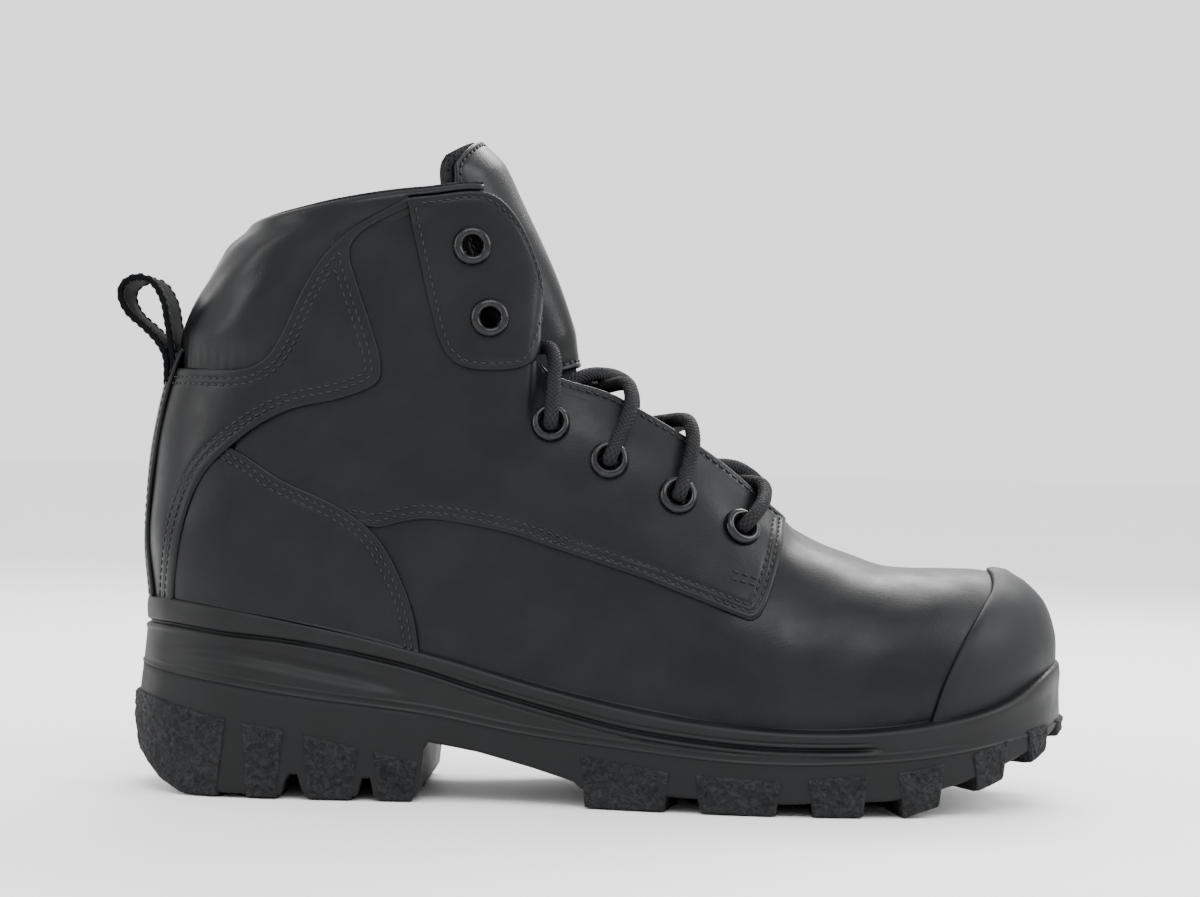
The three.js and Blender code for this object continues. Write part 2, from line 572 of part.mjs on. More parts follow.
// ---------------------------------------------------------------- gussets, strap and pull loop
function gussets() {
  const start = 0.5;
  const end = TONGUE_HINGE - 0.4;
  for (const side of [-1, 1]) {
    const surface = (s, across) => {
      const t = side > 0 ? across : 1 - across;
      const wing = tonguePoint(s, 1);
      const { u, v } = locate(wing.x, wing.z - GUSSET_DROP);
      const wall = under(u, v, DEPTH.lining[1] + GUSSET_SEAT, 1);
      wing.y += GUSSET_SEAT;
      const point = wing.lerp(wall, t);
      point.y *= side;
      return point;
    };
    add(`gusset_${names[side]}`, sheet(surface, [start, end], [0, 1], [0, GUSSET], 8, 2), 'textile');
  }
}

const STRAP_TOP = 142;
const LOOP_OUTER = [[13.4, 142.6], [12.4, 148], [11.4, 153], [9.9, 160.5], [6, 167], [0.4, 168.8],
  [-4.8, 166.4], [-6.4, 161.4], [-3.5, 155.2], [2.3, 150.2], [6.5, 145.5], [9.4, 142.6]];
const LOOP_HOLE = [[10.8, 146], [9.4, 153], [7.9, 160], [4.8, 164.7], [0.5, 166.4], [-3.3, 164.6],
  [-4.2, 161.4], [-1.9, 156.5], [3.6, 151.8], [7.6, 147]];

function strap() {
  const band = corner([-20, -20], [45, -20], [45, STRAP_TOP], [-20, STRAP_TOP]);
  const rim = RIM.map(([x, z]) => [x, z + CLEARANCE]);
  const above = [...rim, ...corner([330, 230], [-20, 230])];
  const wrap = layer(-CLEARANCE - STRAP_THICKNESS, -CLEARANCE)
    .intersect(sideSolid(band, -STRAP_WIDTH / 2, STRAP_WIDTH / 2))
    .intersect(sideSolid(above, -WIDE, WIDE));
  add('backstay_strap', wrap, 'leather');
  const closed = (outline) => seam([...outline, outline[0]], 3).slice(0, -1);
  const ring = sideSolid(closed(LOOP_OUTER), -STRAP_WIDTH / 2, STRAP_WIDTH / 2)
    .subtract(sideSolid(closed(LOOP_HOLE), -STRAP_WIDTH, STRAP_WIDTH));
  add('pull_loop', ring, 'leather');
}

// ---------------------------------------------------------------- the lace
// One lace, from the middle of its bar at the throat out to its two ends. It leaves each eyelet
// outwards, goes over the facing's edge, crosses the tongue and dives under the other facing to
// the next eyelet up. Past the fourth pair it drops inside the boot and lies along the footbed.
const LACED = [[199.5, 0, 95.2], [199, 9, 94.4], [198, 17.5, 90], [196.8, 23.4, 85.4],
  [200.5, 29.6, 89], [203, 33.6, 91.5], [206.4, 29.5, 95.5], [208.5, 21, 99.5], [207.5, 12.5, 103.3],
  [197.5, 0, 106.6], [188.5, -9, 109], [182.5, -15, 107.8], [179.5, -20.5, 103.2], [178.3, -25.7, 96.3],
  [180, -33, 99], [181.1, -38, 101], [182.6, -34.5, 106.5], [184.8, -28.5, 115.5], [183.5, -18.5, 123],
  [174, 0, 121.5], [166.5, 9.5, 121.8], [161, 15.5, 118.5], [158, 21.2, 113.5], [156.8, 25.6, 107.8],
  [157.8, 33.1, 110], [158.4, 38, 111.5], [160.5, 35.3, 117], [164.2, 29.5, 127], [163.2, 18.5, 135],
  [154.5, 0, 136.5], [148, -10, 137.5], [142.3, -14.5, 133], [139, -18.3, 126.5], [137.8, -23.6, 119.3],
  [138.6, -31.8, 121.5], [139.1, -36.8, 122.7], [139.3, -35.4, 129], [139.6, -31.5, 135.5],
  [139.3, -26, 142.6], [137, -20.5, 146.5], [132.5, -18.6, 146], [128, -20, 140.5], [123.5, -21.5, 132.5],
  [117.5, -23.5, 123], [113, -25.5, 112], [107, -27, 99], [100, -27.8, 85], [91, -28.2, 72]];
const CROSSINGS = [9, 19, 29];    // entries where the two strands pass over each other
const CROSSING_LIFT = [1.7, 2.1]; // half the way between the strands there, in x and z
const LONG_TAIL = [[80, -27.7, 61], [68, -27.4, 54.8], [54, -27, 54.3], [41, -25.3, 55.2], [30, -20, 55.7],
  [21.5, -12, 55.9], [18.5, 0, 56], [21.5, 12, 55.9], [30, 20, 55.7], [41, 24.5, 55.2], [52, 26, 54.4],
  [62, 26, 54.2]];
const SHORT_TAIL = [[80, -28, 63.5], [68, -27.6, 60], [54, -27, 59.5], [41, -25.3, 60.4], [30, -20, 60.9],
  [21.5, -12, 61.1], [19, 0, 61.2], [22.5, 10.5, 61], [28.5, 15.5, 61],
  [35, 17, 60.9]];

const strand = (tail, side, over) => [...LACED, ...tail].map(([x, y, z], i) => {
  const lift = CROSSINGS.includes(i) ? over : 0;
  return new THREE.Vector3(...fit([x + lift * CROSSING_LIFT[0], y * side, z + lift * CROSSING_LIFT[1]]));
});

function lace() {
  const long = strand(LONG_TAIL, 1, 1);
  const short = strand(SHORT_TAIL, -1, -1);
  const route = [...long.slice(1).reverse(), ...short];
  const path = new THREE.CatmullRomCurve3(route, false, 'centripetal');
  path.getPointAt = path.getPoint;
  path.getTangentAt = path.getTangent;
  const sides = 8;
  const section = new THREE.Shape();
  section.absarc(0, 0, LACE_DIAMETER / 2, 0, 2 * Math.PI);
  const tube = new THREE.ExtrudeGeometry(section, {
    extrudePath: path, steps: route.length - 1, curveSegments: sides / 2, bevelEnabled: false,
  });
  add('lace', toSolid(tube), 'textile');
  for (const [name, end] of [['lace_tip_long', long], ['lace_tip_short', short]]) {
    const last = end[end.length - 1];
    const along = last.clone().sub(end[end.length - 2]).normalize();
    const tip = new THREE.CylinderGeometry(TIP_DIAMETER / 2, TIP_DIAMETER / 2, TIP_LENGTH, 10);
    tip.translate(0, TIP_LENGTH / 2 + CLEARANCE, 0);
    tip.applyQuaternion(new THREE.Quaternion().setFromUnitVectors(new THREE.Vector3(0, 1, 0), along));
    add(name, tip.translate(last.x, last.y, last.z), 'textile');
  }
}

upper();
linings();
stiffeners();
sole();
tongue();
gussets();
strap();
lace();

// ---------------------------------------------------------------- the boot
// The whole foot curves in towards the toe.
function swing(geometry) {
  const positions = geometry.getAttribute('position');
  for (let i = 0; i < positions.count; i += 1) {
    const forward = Math.max(0, positions.getX(i) / BOOT_LENGTH - 0.4) / 0.6;
    positions.setXYZ(i, positions.getX(i) - HEEL_CENTRE,
      positions.getY(i) + TOE_SWING * forward * forward, positions.getZ(i));
  }
  return geometry;
}

const boot = new THREE.Group();
for (const { name, geometry, finish } of pieces) {
  const mesh = new THREE.Mesh(swing(geometry), new THREE.MeshStandardMaterial(finishes[finish]));
  mesh.name = name;
  boot.add(mesh);
}
export default boot;
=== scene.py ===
# %% [markdown]
# # A steel toe work boot
# The boot is a stack of shells over one last: leather panels over stiffeners over linings, on a
# moulded sole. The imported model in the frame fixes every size, every joint and every place. This
# file builds the surface that a person would see around it: cut and stitched leather, rolled
# eyelets, a braided lace, padded collar and tongue, and a moulded sole.

# %% Load the fixed frame
import bpy
import bmesh
import json
import math
import numpy as np
from mathutils import Matrix, Vector, noise


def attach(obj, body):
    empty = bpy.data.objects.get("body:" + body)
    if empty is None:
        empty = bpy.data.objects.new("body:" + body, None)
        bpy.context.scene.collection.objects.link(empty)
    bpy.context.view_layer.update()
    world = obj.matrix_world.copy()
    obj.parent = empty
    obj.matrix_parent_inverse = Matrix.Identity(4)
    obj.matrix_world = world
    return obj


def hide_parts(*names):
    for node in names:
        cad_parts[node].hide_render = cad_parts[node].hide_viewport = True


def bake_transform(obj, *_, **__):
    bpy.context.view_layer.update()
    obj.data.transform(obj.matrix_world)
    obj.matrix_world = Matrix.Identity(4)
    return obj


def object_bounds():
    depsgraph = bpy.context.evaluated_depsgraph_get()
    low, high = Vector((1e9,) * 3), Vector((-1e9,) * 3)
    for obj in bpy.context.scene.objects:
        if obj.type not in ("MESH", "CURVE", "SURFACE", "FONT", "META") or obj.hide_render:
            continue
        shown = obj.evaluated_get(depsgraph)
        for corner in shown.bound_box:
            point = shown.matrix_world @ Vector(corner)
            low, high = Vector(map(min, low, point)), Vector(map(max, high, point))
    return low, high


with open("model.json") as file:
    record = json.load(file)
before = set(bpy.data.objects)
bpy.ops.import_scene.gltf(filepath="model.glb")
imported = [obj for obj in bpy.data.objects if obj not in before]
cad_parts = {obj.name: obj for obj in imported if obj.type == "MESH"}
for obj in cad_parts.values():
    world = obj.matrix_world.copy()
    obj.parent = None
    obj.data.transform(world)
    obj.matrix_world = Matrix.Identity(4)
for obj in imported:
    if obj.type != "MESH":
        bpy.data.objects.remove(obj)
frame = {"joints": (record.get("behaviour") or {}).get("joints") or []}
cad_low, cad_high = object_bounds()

# %% [markdown]
# ## The drawing and the frame
# A shoemaker draws a boot from the side, in millimetres from the back of the heel. Everything
# below is drawn like that: x runs from the heel to the toe, y is the distance from the middle
# plane and z the height above the ground. One function takes drawn points to the frame, where
# the origin is the middle of the heel tread, the toe swings in a little, and the unit is metres.

# %% From drawn millimetres to the frame's metres
MM = 0.001
BOOT_LENGTH = 310
HEEL_CENTRE = 50
TOE_SWING = 8
SWING_START = 0.4


def to_frame(points):
    points = np.asarray(points, float).reshape(-1, 3)
    forward = np.clip(points[:, 0] / BOOT_LENGTH - SWING_START, 0, None) / (1 - SWING_START)
    x = points[:, 0] - HEEL_CENTRE
    y = points[:, 1] + TOE_SWING * forward**2
    return np.column_stack([x, y, points[:, 2]]) * MM


def frame_point(x, y, z):
    return Vector(to_frame([[x, y, z]])[0])


print("toe tip in the frame", [round(c, 3) for c in frame_point(BOOT_LENGTH, 0, 30)])

# %% [markdown]
# ## Camera
# The boot is seen square from its outer side, from low down and fairly far off, through a long
# lens, so that its side view is almost undistorted. The camera is level but for a small roll.

# %% The camera
CAMERA_PLACE = (0.12756, -0.89969, 0.114)
CAMERA_LOOKS = (-0.02618, 0.99966, 0.0)
CAMERA_ROLL = math.radians(1.2)
CAMERA_LENS = 81

camera_data = bpy.data.cameras.new("camera")
camera_data.lens = CAMERA_LENS
camera_data.sensor_width = 36
camera_data.clip_start = 0.01
camera = bpy.data.objects.new("camera", camera_data)
camera.location = CAMERA_PLACE
aim = Vector(CAMERA_LOOKS).to_track_quat("-Z", "Y").to_matrix()
camera.rotation_euler = (aim @ Matrix.Rotation(CAMERA_ROLL, 3, "Z")).to_euler()
bpy.context.scene.collection.objects.link(camera)
bpy.context.scene.camera = camera
print("camera at", CAMERA_PLACE, "lens", CAMERA_LENS, "mm")

# %% [markdown]
# ## Making pieces
# Nearly every piece here starts as a flat grid from `bmesh.ops.create_grid`, which is then bent
# into place by a function of its two directions. That is how leather and rubber behave: flat
# stock that follows a form. A few helpers turn such a sheet into a finished object whose origin
# is the frame's and whose faces point outwards.

# %% Helpers for pieces


def coords(bm):
    return np.array([v.co for v in bm.verts], float).reshape(-1, 3)


def set_coords(bm, points):
    for vert, point in zip(bm.verts, points):
        vert.co = point


def flat_grid(columns, rows):
    """A unit grid from (0, 0) to (1, 1), with a height of zero."""
    bm = bmesh.new()
    bmesh.ops.create_grid(bm, x_segments=columns, y_segments=rows, size=0.5)
    bmesh.ops.translate(bm, verts=bm.verts, vec=(0.5, 0.5, 0))
    return bm


def joined(parts):
    """Several bmeshes as one, with the vertices that meet merged."""
    whole = bmesh.new()
    for part in parts:
        mesh = bpy.data.meshes.new("part")
        part.to_mesh(mesh)
        part.free()
        whole.from_mesh(mesh)
        bpy.data.meshes.remove(mesh)
    return whole


def merge(bm, distance=1e-4):
    bmesh.ops.remove_doubles(bm, verts=bm.verts, dist=distance)
    return bm


def other_side(bm):
    """The same drawn shape on the other side of the boot, with its faces still outwards."""
    copy = bm.copy()
    bmesh.ops.scale(copy, vec=(1, -1, 1), verts=copy.verts)
    bmesh.ops.reverse_faces(copy, faces=copy.faces)
    return copy


def make_object(name, bm, material, smooth=True, drawn=True):
    """An object of a drawn bmesh, at the frame's origin."""
    if drawn:
        set_coords(bm, to_frame(coords(bm)))
    mesh = bpy.data.meshes.new(name)
    bm.to_mesh(mesh)
    bm.free()
    mesh.shade_smooth() if smooth else mesh.shade_flat()
    mesh.materials.append(material)
    obj = bpy.data.objects.new(name, mesh)
    bpy.context.scene.collection.objects.link(obj)
    return obj


def solid(obj, thickness, offset=-1):
    """Gives a sheet its thickness, inwards from the face that shows."""
    wall = obj.modifiers.new("thickness", "SOLIDIFY")
    wall.thickness = thickness * MM
    wall.offset = offset
    return obj


def settle(obj, body, slot, *replaced):
    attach(obj, body)
    if replaced:
        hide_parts(*replaced)
    print(obj.name, "on", body, len(obj.data.polygons), "faces")
    return obj


SIDES = {"lateral": -1, "medial": 1}

# %% [markdown]
# ## Materials
# The boot has few colours, so its finishes have to differ in gloss and grain: smooth leather
# with a fine pebble, matt moulded rubber, braided cord, knitted lining and lacquered metal.
# Effects that several materials share are node groups: grain makes a height, and mottle a mask
# of soft patches. Each material places them with its own scale.

# %% Node groups that several finishes share


def new_group(name, inputs, outputs):
    group = bpy.data.node_groups.new(name, "ShaderNodeTree")
    for label, kind, value in inputs:
        socket = group.interface.new_socket(label, in_out="INPUT", socket_type=kind)
        if value is not None:
            socket.default_value = value
    for label, kind in outputs:
        group.interface.new_socket(label, in_out="OUTPUT", socket_type=kind)
    return group, group.nodes.new("NodeGroupInput"), group.nodes.new("NodeGroupOutput")


def add_node(tree, kind, **values):
    """A node with some of its properties or its inputs set."""
    node = tree.nodes.new(kind)
    for key, value in values.items():
        if hasattr(node, key):
            setattr(node, key, value)
        else:
            node.inputs[key.replace("_", " ").title()].default_value = value
    return node


def link(tree, source, target):
    tree.links.new(source, target)


def math_node(tree, operation, a, b=None):
    node = tree.nodes.new("ShaderNodeMath")
    node.operation = operation
    for socket, value in zip(node.inputs, (a, b)):
        if value is None:
            continue
        if isinstance(value, (int, float)):
            socket.default_value = value
        else:
            tree.links.new(value, socket)
    return node.outputs[0]


FLOAT, VECTOR = "NodeSocketFloat", "NodeSocketVector"


def grain_group():
    """Leather pebble: cells with soft valleys between them, and finer noise on top."""
    group, start, end = new_group(
        "leather_grain",
        [("Vector", VECTOR, None), ("Scale", FLOAT, 900.0), ("Fine", FLOAT, 0.35)],
        [("Height", FLOAT)],
    )
    warp = add_node(group, "ShaderNodeTexNoise", scale=260.0, detail=2.0)
    link(group, start.outputs["Vector"], warp.inputs["Vector"])
    bent = add_node(group, "ShaderNodeVectorMath", operation="MULTIPLY_ADD")
    link(group, warp.outputs["Color"], bent.inputs[0])
    bent.inputs[1].default_value = (0.0012, 0.0012, 0.0012)
    link(group, start.outputs["Vector"], bent.inputs[2])
    cells = add_node(group, "ShaderNodeTexVoronoi", feature="SMOOTH_F1", smoothness=0.6)
    link(group, bent.outputs[0], cells.inputs["Vector"])
    link(group, start.outputs["Scale"], cells.inputs["Scale"])
    fine = add_node(group, "ShaderNodeTexNoise", detail=4.0, roughness=0.6)
    link(group, start.outputs["Vector"], fine.inputs["Vector"])
    link(group, math_node(group, "MULTIPLY", start.outputs["Scale"], 2.5), fine.inputs["Scale"])
    fine_part = math_node(group, "MULTIPLY", fine.outputs["Fac"], start.outputs["Fine"])
    height = math_node(group, "SUBTRACT", fine_part, cells.outputs["Distance"])
    link(group, height, end.inputs["Height"])
    return group


def mottle_group():
    """Soft patches, for wear and for uneven gloss, from 0 to 1."""
    group, start, end = new_group(
        "mottle",
        [("Vector", VECTOR, None), ("Scale", FLOAT, 40.0), ("Low", FLOAT, 0.4), ("High", FLOAT, 0.65)],
        [("Mask", FLOAT)],
    )
    patches = add_node(group, "ShaderNodeTexNoise", detail=5.0, roughness=0.62)
    link(group, start.outputs["Vector"], patches.inputs["Vector"])
    link(group, start.outputs["Scale"], patches.inputs["Scale"])
    span = add_node(group, "ShaderNodeMapRange", interpolation_type="SMOOTHSTEP")
    link(group, patches.outputs["Fac"], span.inputs["Value"])
    link(group, start.outputs["Low"], span.inputs["From Min"])
    link(group, start.outputs["High"], span.inputs["From Max"])
    link(group, span.outputs["Result"], end.inputs["Mask"])
    return group


GRAIN = grain_group()
MOTTLE = mottle_group()
print("node groups", GRAIN.name, MOTTLE.name)

# %% Material helpers


def placed_group(tree, group, vector, **values):
    node = tree.nodes.new("ShaderNodeGroup")
    node.node_tree = group
    link(tree, vector, node.inputs["Vector"])
    for key, value in values.items():
        node.inputs[key.title()].default_value = value
    return node.outputs[0]


def start_material(name, **shader_values):
    """A material with its shader, and the piece's own coordinates."""
    material = bpy.data.materials.new(name)
    material.use_nodes = True
    tree = material.node_tree
    shader = tree.nodes["Principled BSDF"]
    for key, value in shader_values.items():
        shader.inputs[key.replace("_", " ").title().replace("Ior", "IOR")].default_value = value
    where = tree.nodes.new("ShaderNodeTexCoord").outputs["Object"]
    return material, tree, shader, where


def colours(tree, mask, first, second, socket):
    """Mixes two colours by a mask into a socket."""
    mix = add_node(tree, "ShaderNodeMix", data_type="RGBA")
    link(tree, mask, mix.inputs["Factor"])
    mix.inputs[6].default_value = (*first, 1)
    mix.inputs[7].default_value = (*second, 1)
    link(tree, mix.outputs[2], socket)


def spread(tree, mask, low, high, socket):
    """Takes a mask from 0 to 1 to a span of values."""
    span = tree.nodes.new("ShaderNodeMapRange")
    link(tree, mask, span.inputs["Value"])
    span.inputs["To Min"].default_value = low
    span.inputs["To Max"].default_value = high
    link(tree, span.outputs["Result"], socket)


def bump(tree, height, distance, shader, strength=1.0, below=None):
    node = tree.nodes.new("ShaderNodeBump")
    node.inputs["Strength"].default_value = strength
    node.inputs["Distance"].default_value = distance
    link(tree, height, node.inputs["Height"])
    if below is not None:
        link(tree, below, node.inputs["Normal"])
    link(tree, node.outputs["Normal"], shader.inputs["Normal"])
    return node.outputs["Normal"]


# %% Smooth black leather
LEATHER_BLACK = (0.0018, 0.0021, 0.0027)
LEATHER_LIGHT = (0.0038, 0.0044, 0.0055)


def leather_material(name, grain=1150.0, depth=0.00006, low=0.34, high=0.47):
    material, tree, shader, where = start_material(
        name, roughness=0.4, specular_ior_level=0.17, coat_weight=0.03, coat_roughness=0.25)
    patches = placed_group(tree, MOTTLE, where, scale=38.0, low=0.35, high=0.7)
    colours(tree, patches, LEATHER_BLACK, LEATHER_LIGHT, shader.inputs["Base Color"])
    gloss = placed_group(tree, MOTTLE, where, scale=95.0, low=0.3, high=0.7)
    spread(tree, gloss, low, high, shader.inputs["Roughness"])
    pebble = placed_group(tree, GRAIN, where, scale=grain, fine=0.4)
    bump(tree, pebble, depth, shader, 0.55)
    return material


leather = leather_material("upper_leather")
print("material", leather.name)

# %% [markdown]
# ## The lace
# A boot lace is a round braid of textured yarn, a little over a metre long. It is one piece: it starts
# inside the boot, comes up through one facing, crosses the tongue from eyelet to eyelet and goes back
# inside past the fourth pair. Its route is a list of given points, the same as in the design. A smooth
# curve through them carries a tube whose wall is raised and lowered in two crossing helices, so the
# braid is real shape and the yarn only bump.

# %% The lace's route
LACE_DIAMETER = 4.6
LACED = [
    (199.5, 0, 95.2), (199, 9, 94.4), (198, 17.5, 90), (196.8, 23.4, 85.4),
    (200.5, 29.6, 89), (203, 33.6, 91.5), (206.4, 29.5, 95.5), (208.5, 21, 99.5),
    (207.5, 12.5, 103.3), (197.5, 0, 106.6), (188.5, -9, 109), (182.5, -15, 107.8),
    (179.5, -20.5, 103.2), (178.3, -25.7, 96.3), (180, -33, 99), (181.1, -38, 101),
    (182.6, -34.5, 106.5), (184.8, -28.5, 115.5), (183.5, -18.5, 123), (174, 0, 121.5),
    (166.5, 9.5, 121.8), (161, 15.5, 118.5), (158, 21.2, 113.5), (156.8, 25.6, 107.8),
    (157.8, 33.1, 110), (158.4, 38, 111.5), (160.5, 35.3, 117), (164.2, 29.5, 127),
    (163.2, 18.5, 135), (154.5, 0, 136.5), (148, -10, 137.5), (142.3, -14.5, 133),
    (139, -18.3, 126.5), (137.8, -23.6, 119.3), (138.6, -31.8, 121.5), (139.1, -36.8, 122.7),
    (139.3, -35.4, 129), (139.6, -31.5, 135.5), (139.3, -26, 142.6), (137, -20.5, 146.5),
    (132.5, -18.6, 146), (128, -20, 140.5), (123.5, -21.5, 132.5), (117.5, -23.5, 123),
    (113, -25.5, 112), (107, -27, 99), (100, -27.8, 85), (91, -28.2, 72),
]
CROSSINGS = (9, 19, 29)
CROSSING_LIFT = (1.7, 2.1)
LONG_TAIL = [
    (80, -27.7, 61), (68, -27.4, 54.8), (54, -27, 54.3), (41, -25.3, 55.2), (30, -20, 55.7),
    (21.5, -12, 55.9), (18.5, 0, 56), (21.5, 12, 55.9), (30, 20, 55.7), (41, 24.5, 55.2),
    (52, 26, 54.4), (62, 26, 54.2),
]
SHORT_TAIL = [
    (80, -28, 63.5), (68, -27.6, 60), (54, -27, 59.5), (41, -25.3, 60.4), (30, -20, 60.9),
    (21.5, -12, 61.1), (19, 0, 61.2), (22.5, 10.5, 61), (28.5, 15.5, 61), (35, 17, 60.9),
]


def strand(tail, side, over):
    """One half of the lace, from the bar at the throat to its hidden end."""
    points = []
    for index, (x, y, z) in enumerate(LACED + tail):
        lift = over if index in CROSSINGS else 0
        points.append((x + lift * CROSSING_LIFT[0], y * side, z + lift * CROSSING_LIFT[1]))
    return points


def smooth_line(points, step):
    """Points a step apart on the centripetal curve through the given ones."""
    points = [Vector(p) for p in points]
    points = [2 * points[0] - points[1], *points, 2 * points[-1] - points[-2]]
    dense = []
    for a, b, c, d in zip(points, points[1:], points[2:], points[3:]):
        knots = [0.0]
        for p, q in ((a, b), (b, c), (c, d)):
            knots.append(knots[-1] + max((q - p).length, 1e-6) ** 0.5)
        k0, k1, k2, k3 = knots
        for k in np.linspace(k1, k2, 24, endpoint=False):
            ab = a.lerp(b, (k - k0) / (k1 - k0))
            bc = b.lerp(c, (k - k1) / (k2 - k1))
            cd = c.lerp(d, (k - k2) / (k3 - k2))
            abc = ab.lerp(bc, (k - k0) / (k2 - k0))
            bcd = bc.lerp(cd, (k - k1) / (k3 - k1))
            dense.append(abc.lerp(bcd, (k - k1) / (k2 - k1)))
    dense = np.array([*dense, points[-2]], float)
    return evenly(dense, step)


def evenly(points, step):
    """The same line with its points an even step apart."""
    lengths = np.concatenate([[0], np.cumsum(np.linalg.norm(np.diff(points, axis=0), axis=1))])
    marks = np.linspace(0, lengths[-1], max(int(round(lengths[-1] / step)), 1) + 1)
    return np.column_stack([np.interp(marks, lengths, points[:, k]) for k in range(3)])


def line_frames(line):
    """A direction and two cross directions at each point, turning as little as they can."""
    along = np.gradient(line, axis=0)
    along /= np.linalg.norm(along, axis=1)[:, None]
    first = np.cross(along[0], (0.3, 0.2, 1.0))
    first /= np.linalg.norm(first)
    across = [first]
    for direction in along[1:]:
        turned = across[-1] - direction * (across[-1] @ direction)
        across.append(turned / np.linalg.norm(turned))
    across = np.array(across)
    return along, across, np.cross(along, across)


LACE_STEP = 0.7
lace_points = [*reversed(strand(LONG_TAIL, 1, 1)[1:]), *strand(SHORT_TAIL, -1, -1)]
lace_line = smooth_line(lace_points, LACE_STEP)

# %% The braid's shape
LACE_SIDES = 20
BRAID_STRANDS = 8
BRAID_PITCH = 11.6
BRAID_RELIEF = 0.34


def braid(along, around):
    """How far the braid stands out, from 0 to 1, where two sets of strands cross."""
    left = around * BRAID_STRANDS + along * BRAID_STRANDS / BRAID_PITCH
    right = around * BRAID_STRANDS - along * BRAID_STRANDS / BRAID_PITCH
    over = 0.5 + 0.5 * np.sin(math.pi * (np.floor(left) + np.floor(right)) + math.pi / 2)
    left_ridge = np.abs(np.sin(math.pi * left))
    right_ridge = np.abs(np.sin(math.pi * right))
    return np.where(over > 0.5, left_ridge, right_ridge)


def tube(line, radius, sides, relief=None, amount=0.0):
    """A closed tube along a drawn line, with the places along and around it as attributes."""
    along, across, third = line_frames(line)
    bm = flat_grid(len(line) - 1, sides)
    flat = coords(bm)
    index = np.rint(flat[:, 0] * (len(line) - 1)).astype(int)
    angle = 2 * math.pi * flat[:, 1]
    distance = index * np.linalg.norm(line[1] - line[0])
    out = radius
    if relief is not None:
        out = radius - amount + amount * relief(distance, flat[:, 1])
    direction = np.cos(angle)[:, None] * across[index] + np.sin(angle)[:, None] * third[index]
    set_coords(bm, line[index] + direction * np.reshape(out, (-1, 1)))
    place = bm.verts.layers.float_vector.new("lace_place")
    for vert, d, share in zip(bm.verts, distance, flat[:, 1]):
        vert[place] = (d, share, 0)
    merge(bm)
    bmesh.ops.holes_fill(bm, edges=[e for e in bm.edges if e.is_boundary], sides=0)
    bmesh.ops.recalc_face_normals(bm, faces=bm.faces)
    return bm


def cord_material():
    """Matt black yarn with the fine twist of its threads, and painted shade that darkens the grooves
    between the braid's strands.
    """
    material, tree, shader, where = start_material(
        "lace_cord", roughness=0.75, specular_ior_level=0.2)
    place = tree.nodes.new("ShaderNodeAttribute")
    place.attribute_name = "lace_place"
    parts = tree.nodes.new("ShaderNodeSeparateXYZ")
    link(tree, place.outputs["Vector"], parts.inputs["Vector"])
    around = math_node(tree, "MULTIPLY", parts.outputs["Y"], 2 * math.pi * BRAID_STRANDS)
    along = math_node(tree, "MULTIPLY", parts.outputs["X"],
                      2 * math.pi * BRAID_STRANDS / BRAID_PITCH)
    across = math_node(tree, "COSINE", math_node(tree, "ADD", around, along))
    back = math_node(tree, "COSINE", math_node(tree, "SUBTRACT", around, along))
    crossed = math_node(tree, "MULTIPLY", math_node(tree, "ADD", across, back), 0.25)
    ridges_and_groove_shade = math_node(tree, "ADD", crossed, 0.5)
    fibres = add_node(tree, "ShaderNodeTexNoise", scale=2600.0, detail=3.0)
    link(tree, where, fibres.inputs["Vector"])
    # Painted shade: the cord's colour goes dark in the grooves between the strands and lighter on their
    # crowns.
    colours(tree, ridges_and_groove_shade, (0.0015, 0.0015, 0.002), (0.013, 0.0135, 0.0155),
            shader.inputs["Base Color"])
    below = bump(tree, ridges_and_groove_shade, 0.00045, shader, 1.0)
    bump(tree, fibres.outputs["Fac"], 0.0001, shader, 0.7, below)
    return material


cord_finish = cord_material()
lace = make_object(
    "lace_braid", tube(lace_line, LACE_DIAMETER / 2 + 0.12, LACE_SIDES, braid, BRAID_RELIEF),
    cord_finish)
settle(lace, "boot", "lace_cord", "lace")

# %% The lace's tips
def tip(name, line_end, before, node):
    """A pressed film tip: a smooth sleeve with a rounded end and a crimped mouth."""
    direction = Vector(line_end - before).normalized()
    profile = [(0, 0.3), (1.9, 0.3), (2.6, 1.2), (2.45, 2.4), (2.6, 3.6), (2.6, 19.5),
               (2.2, 21.6), (1.2, 22.2), (0, 22.3)]
    bm = bmesh.new()
    ring = [bm.verts.new((r, 0, z)) for r, z in profile]
    edges = [bm.edges.new(pair) for pair in zip(ring, ring[1:])]
    bmesh.ops.spin(bm, geom=ring + edges, cent=(0, 0, 0), axis=(0, 0, 1),
                   angle=2 * math.pi, steps=24, use_merge=True)
    merge(bm)
    bmesh.ops.recalc_face_normals(bm, faces=bm.faces)
    turn = direction.to_track_quat("Z", "Y").to_matrix()
    bmesh.ops.rotate(bm, cent=(0, 0, 0), matrix=turn, verts=bm.verts)
    bmesh.ops.translate(bm, verts=bm.verts, vec=Vector(line_end))
    obj = make_object(name, bm, tip_finish)
    return settle(obj, "boot", "lace_cord", node)


tip_finish, tip_tree, tip_shader, tip_where = start_material(
    "tip_film", roughness=0.3, coat_weight=0.4, coat_roughness=0.15)
tip_marks = placed_group(tip_tree, MOTTLE, tip_where, scale=300.0, low=0.3, high=0.7)
colours(tip_tree, tip_marks, (0.008, 0.008, 0.009), (0.02, 0.02, 0.022),
        tip_shader.inputs["Base Color"])
tips = [
    tip("lace_tip_film_long", lace_line[0], lace_line[3], "lace_tip_long"),
    tip("lace_tip_film_short", lace_line[-1], lace_line[-4], "lace_tip_short"),
]

# %% [markdown]
# ## The last
# Every shell of the upper follows the last, the foot-shaped block that a boot is made on. Here it
# is sixteen ribs from the middle of the toe round to the middle of the heel, each with six
# points from the sole's rim up to the top line. A smooth surface through them gives a place and
# an outward direction for any rib number u and height v.

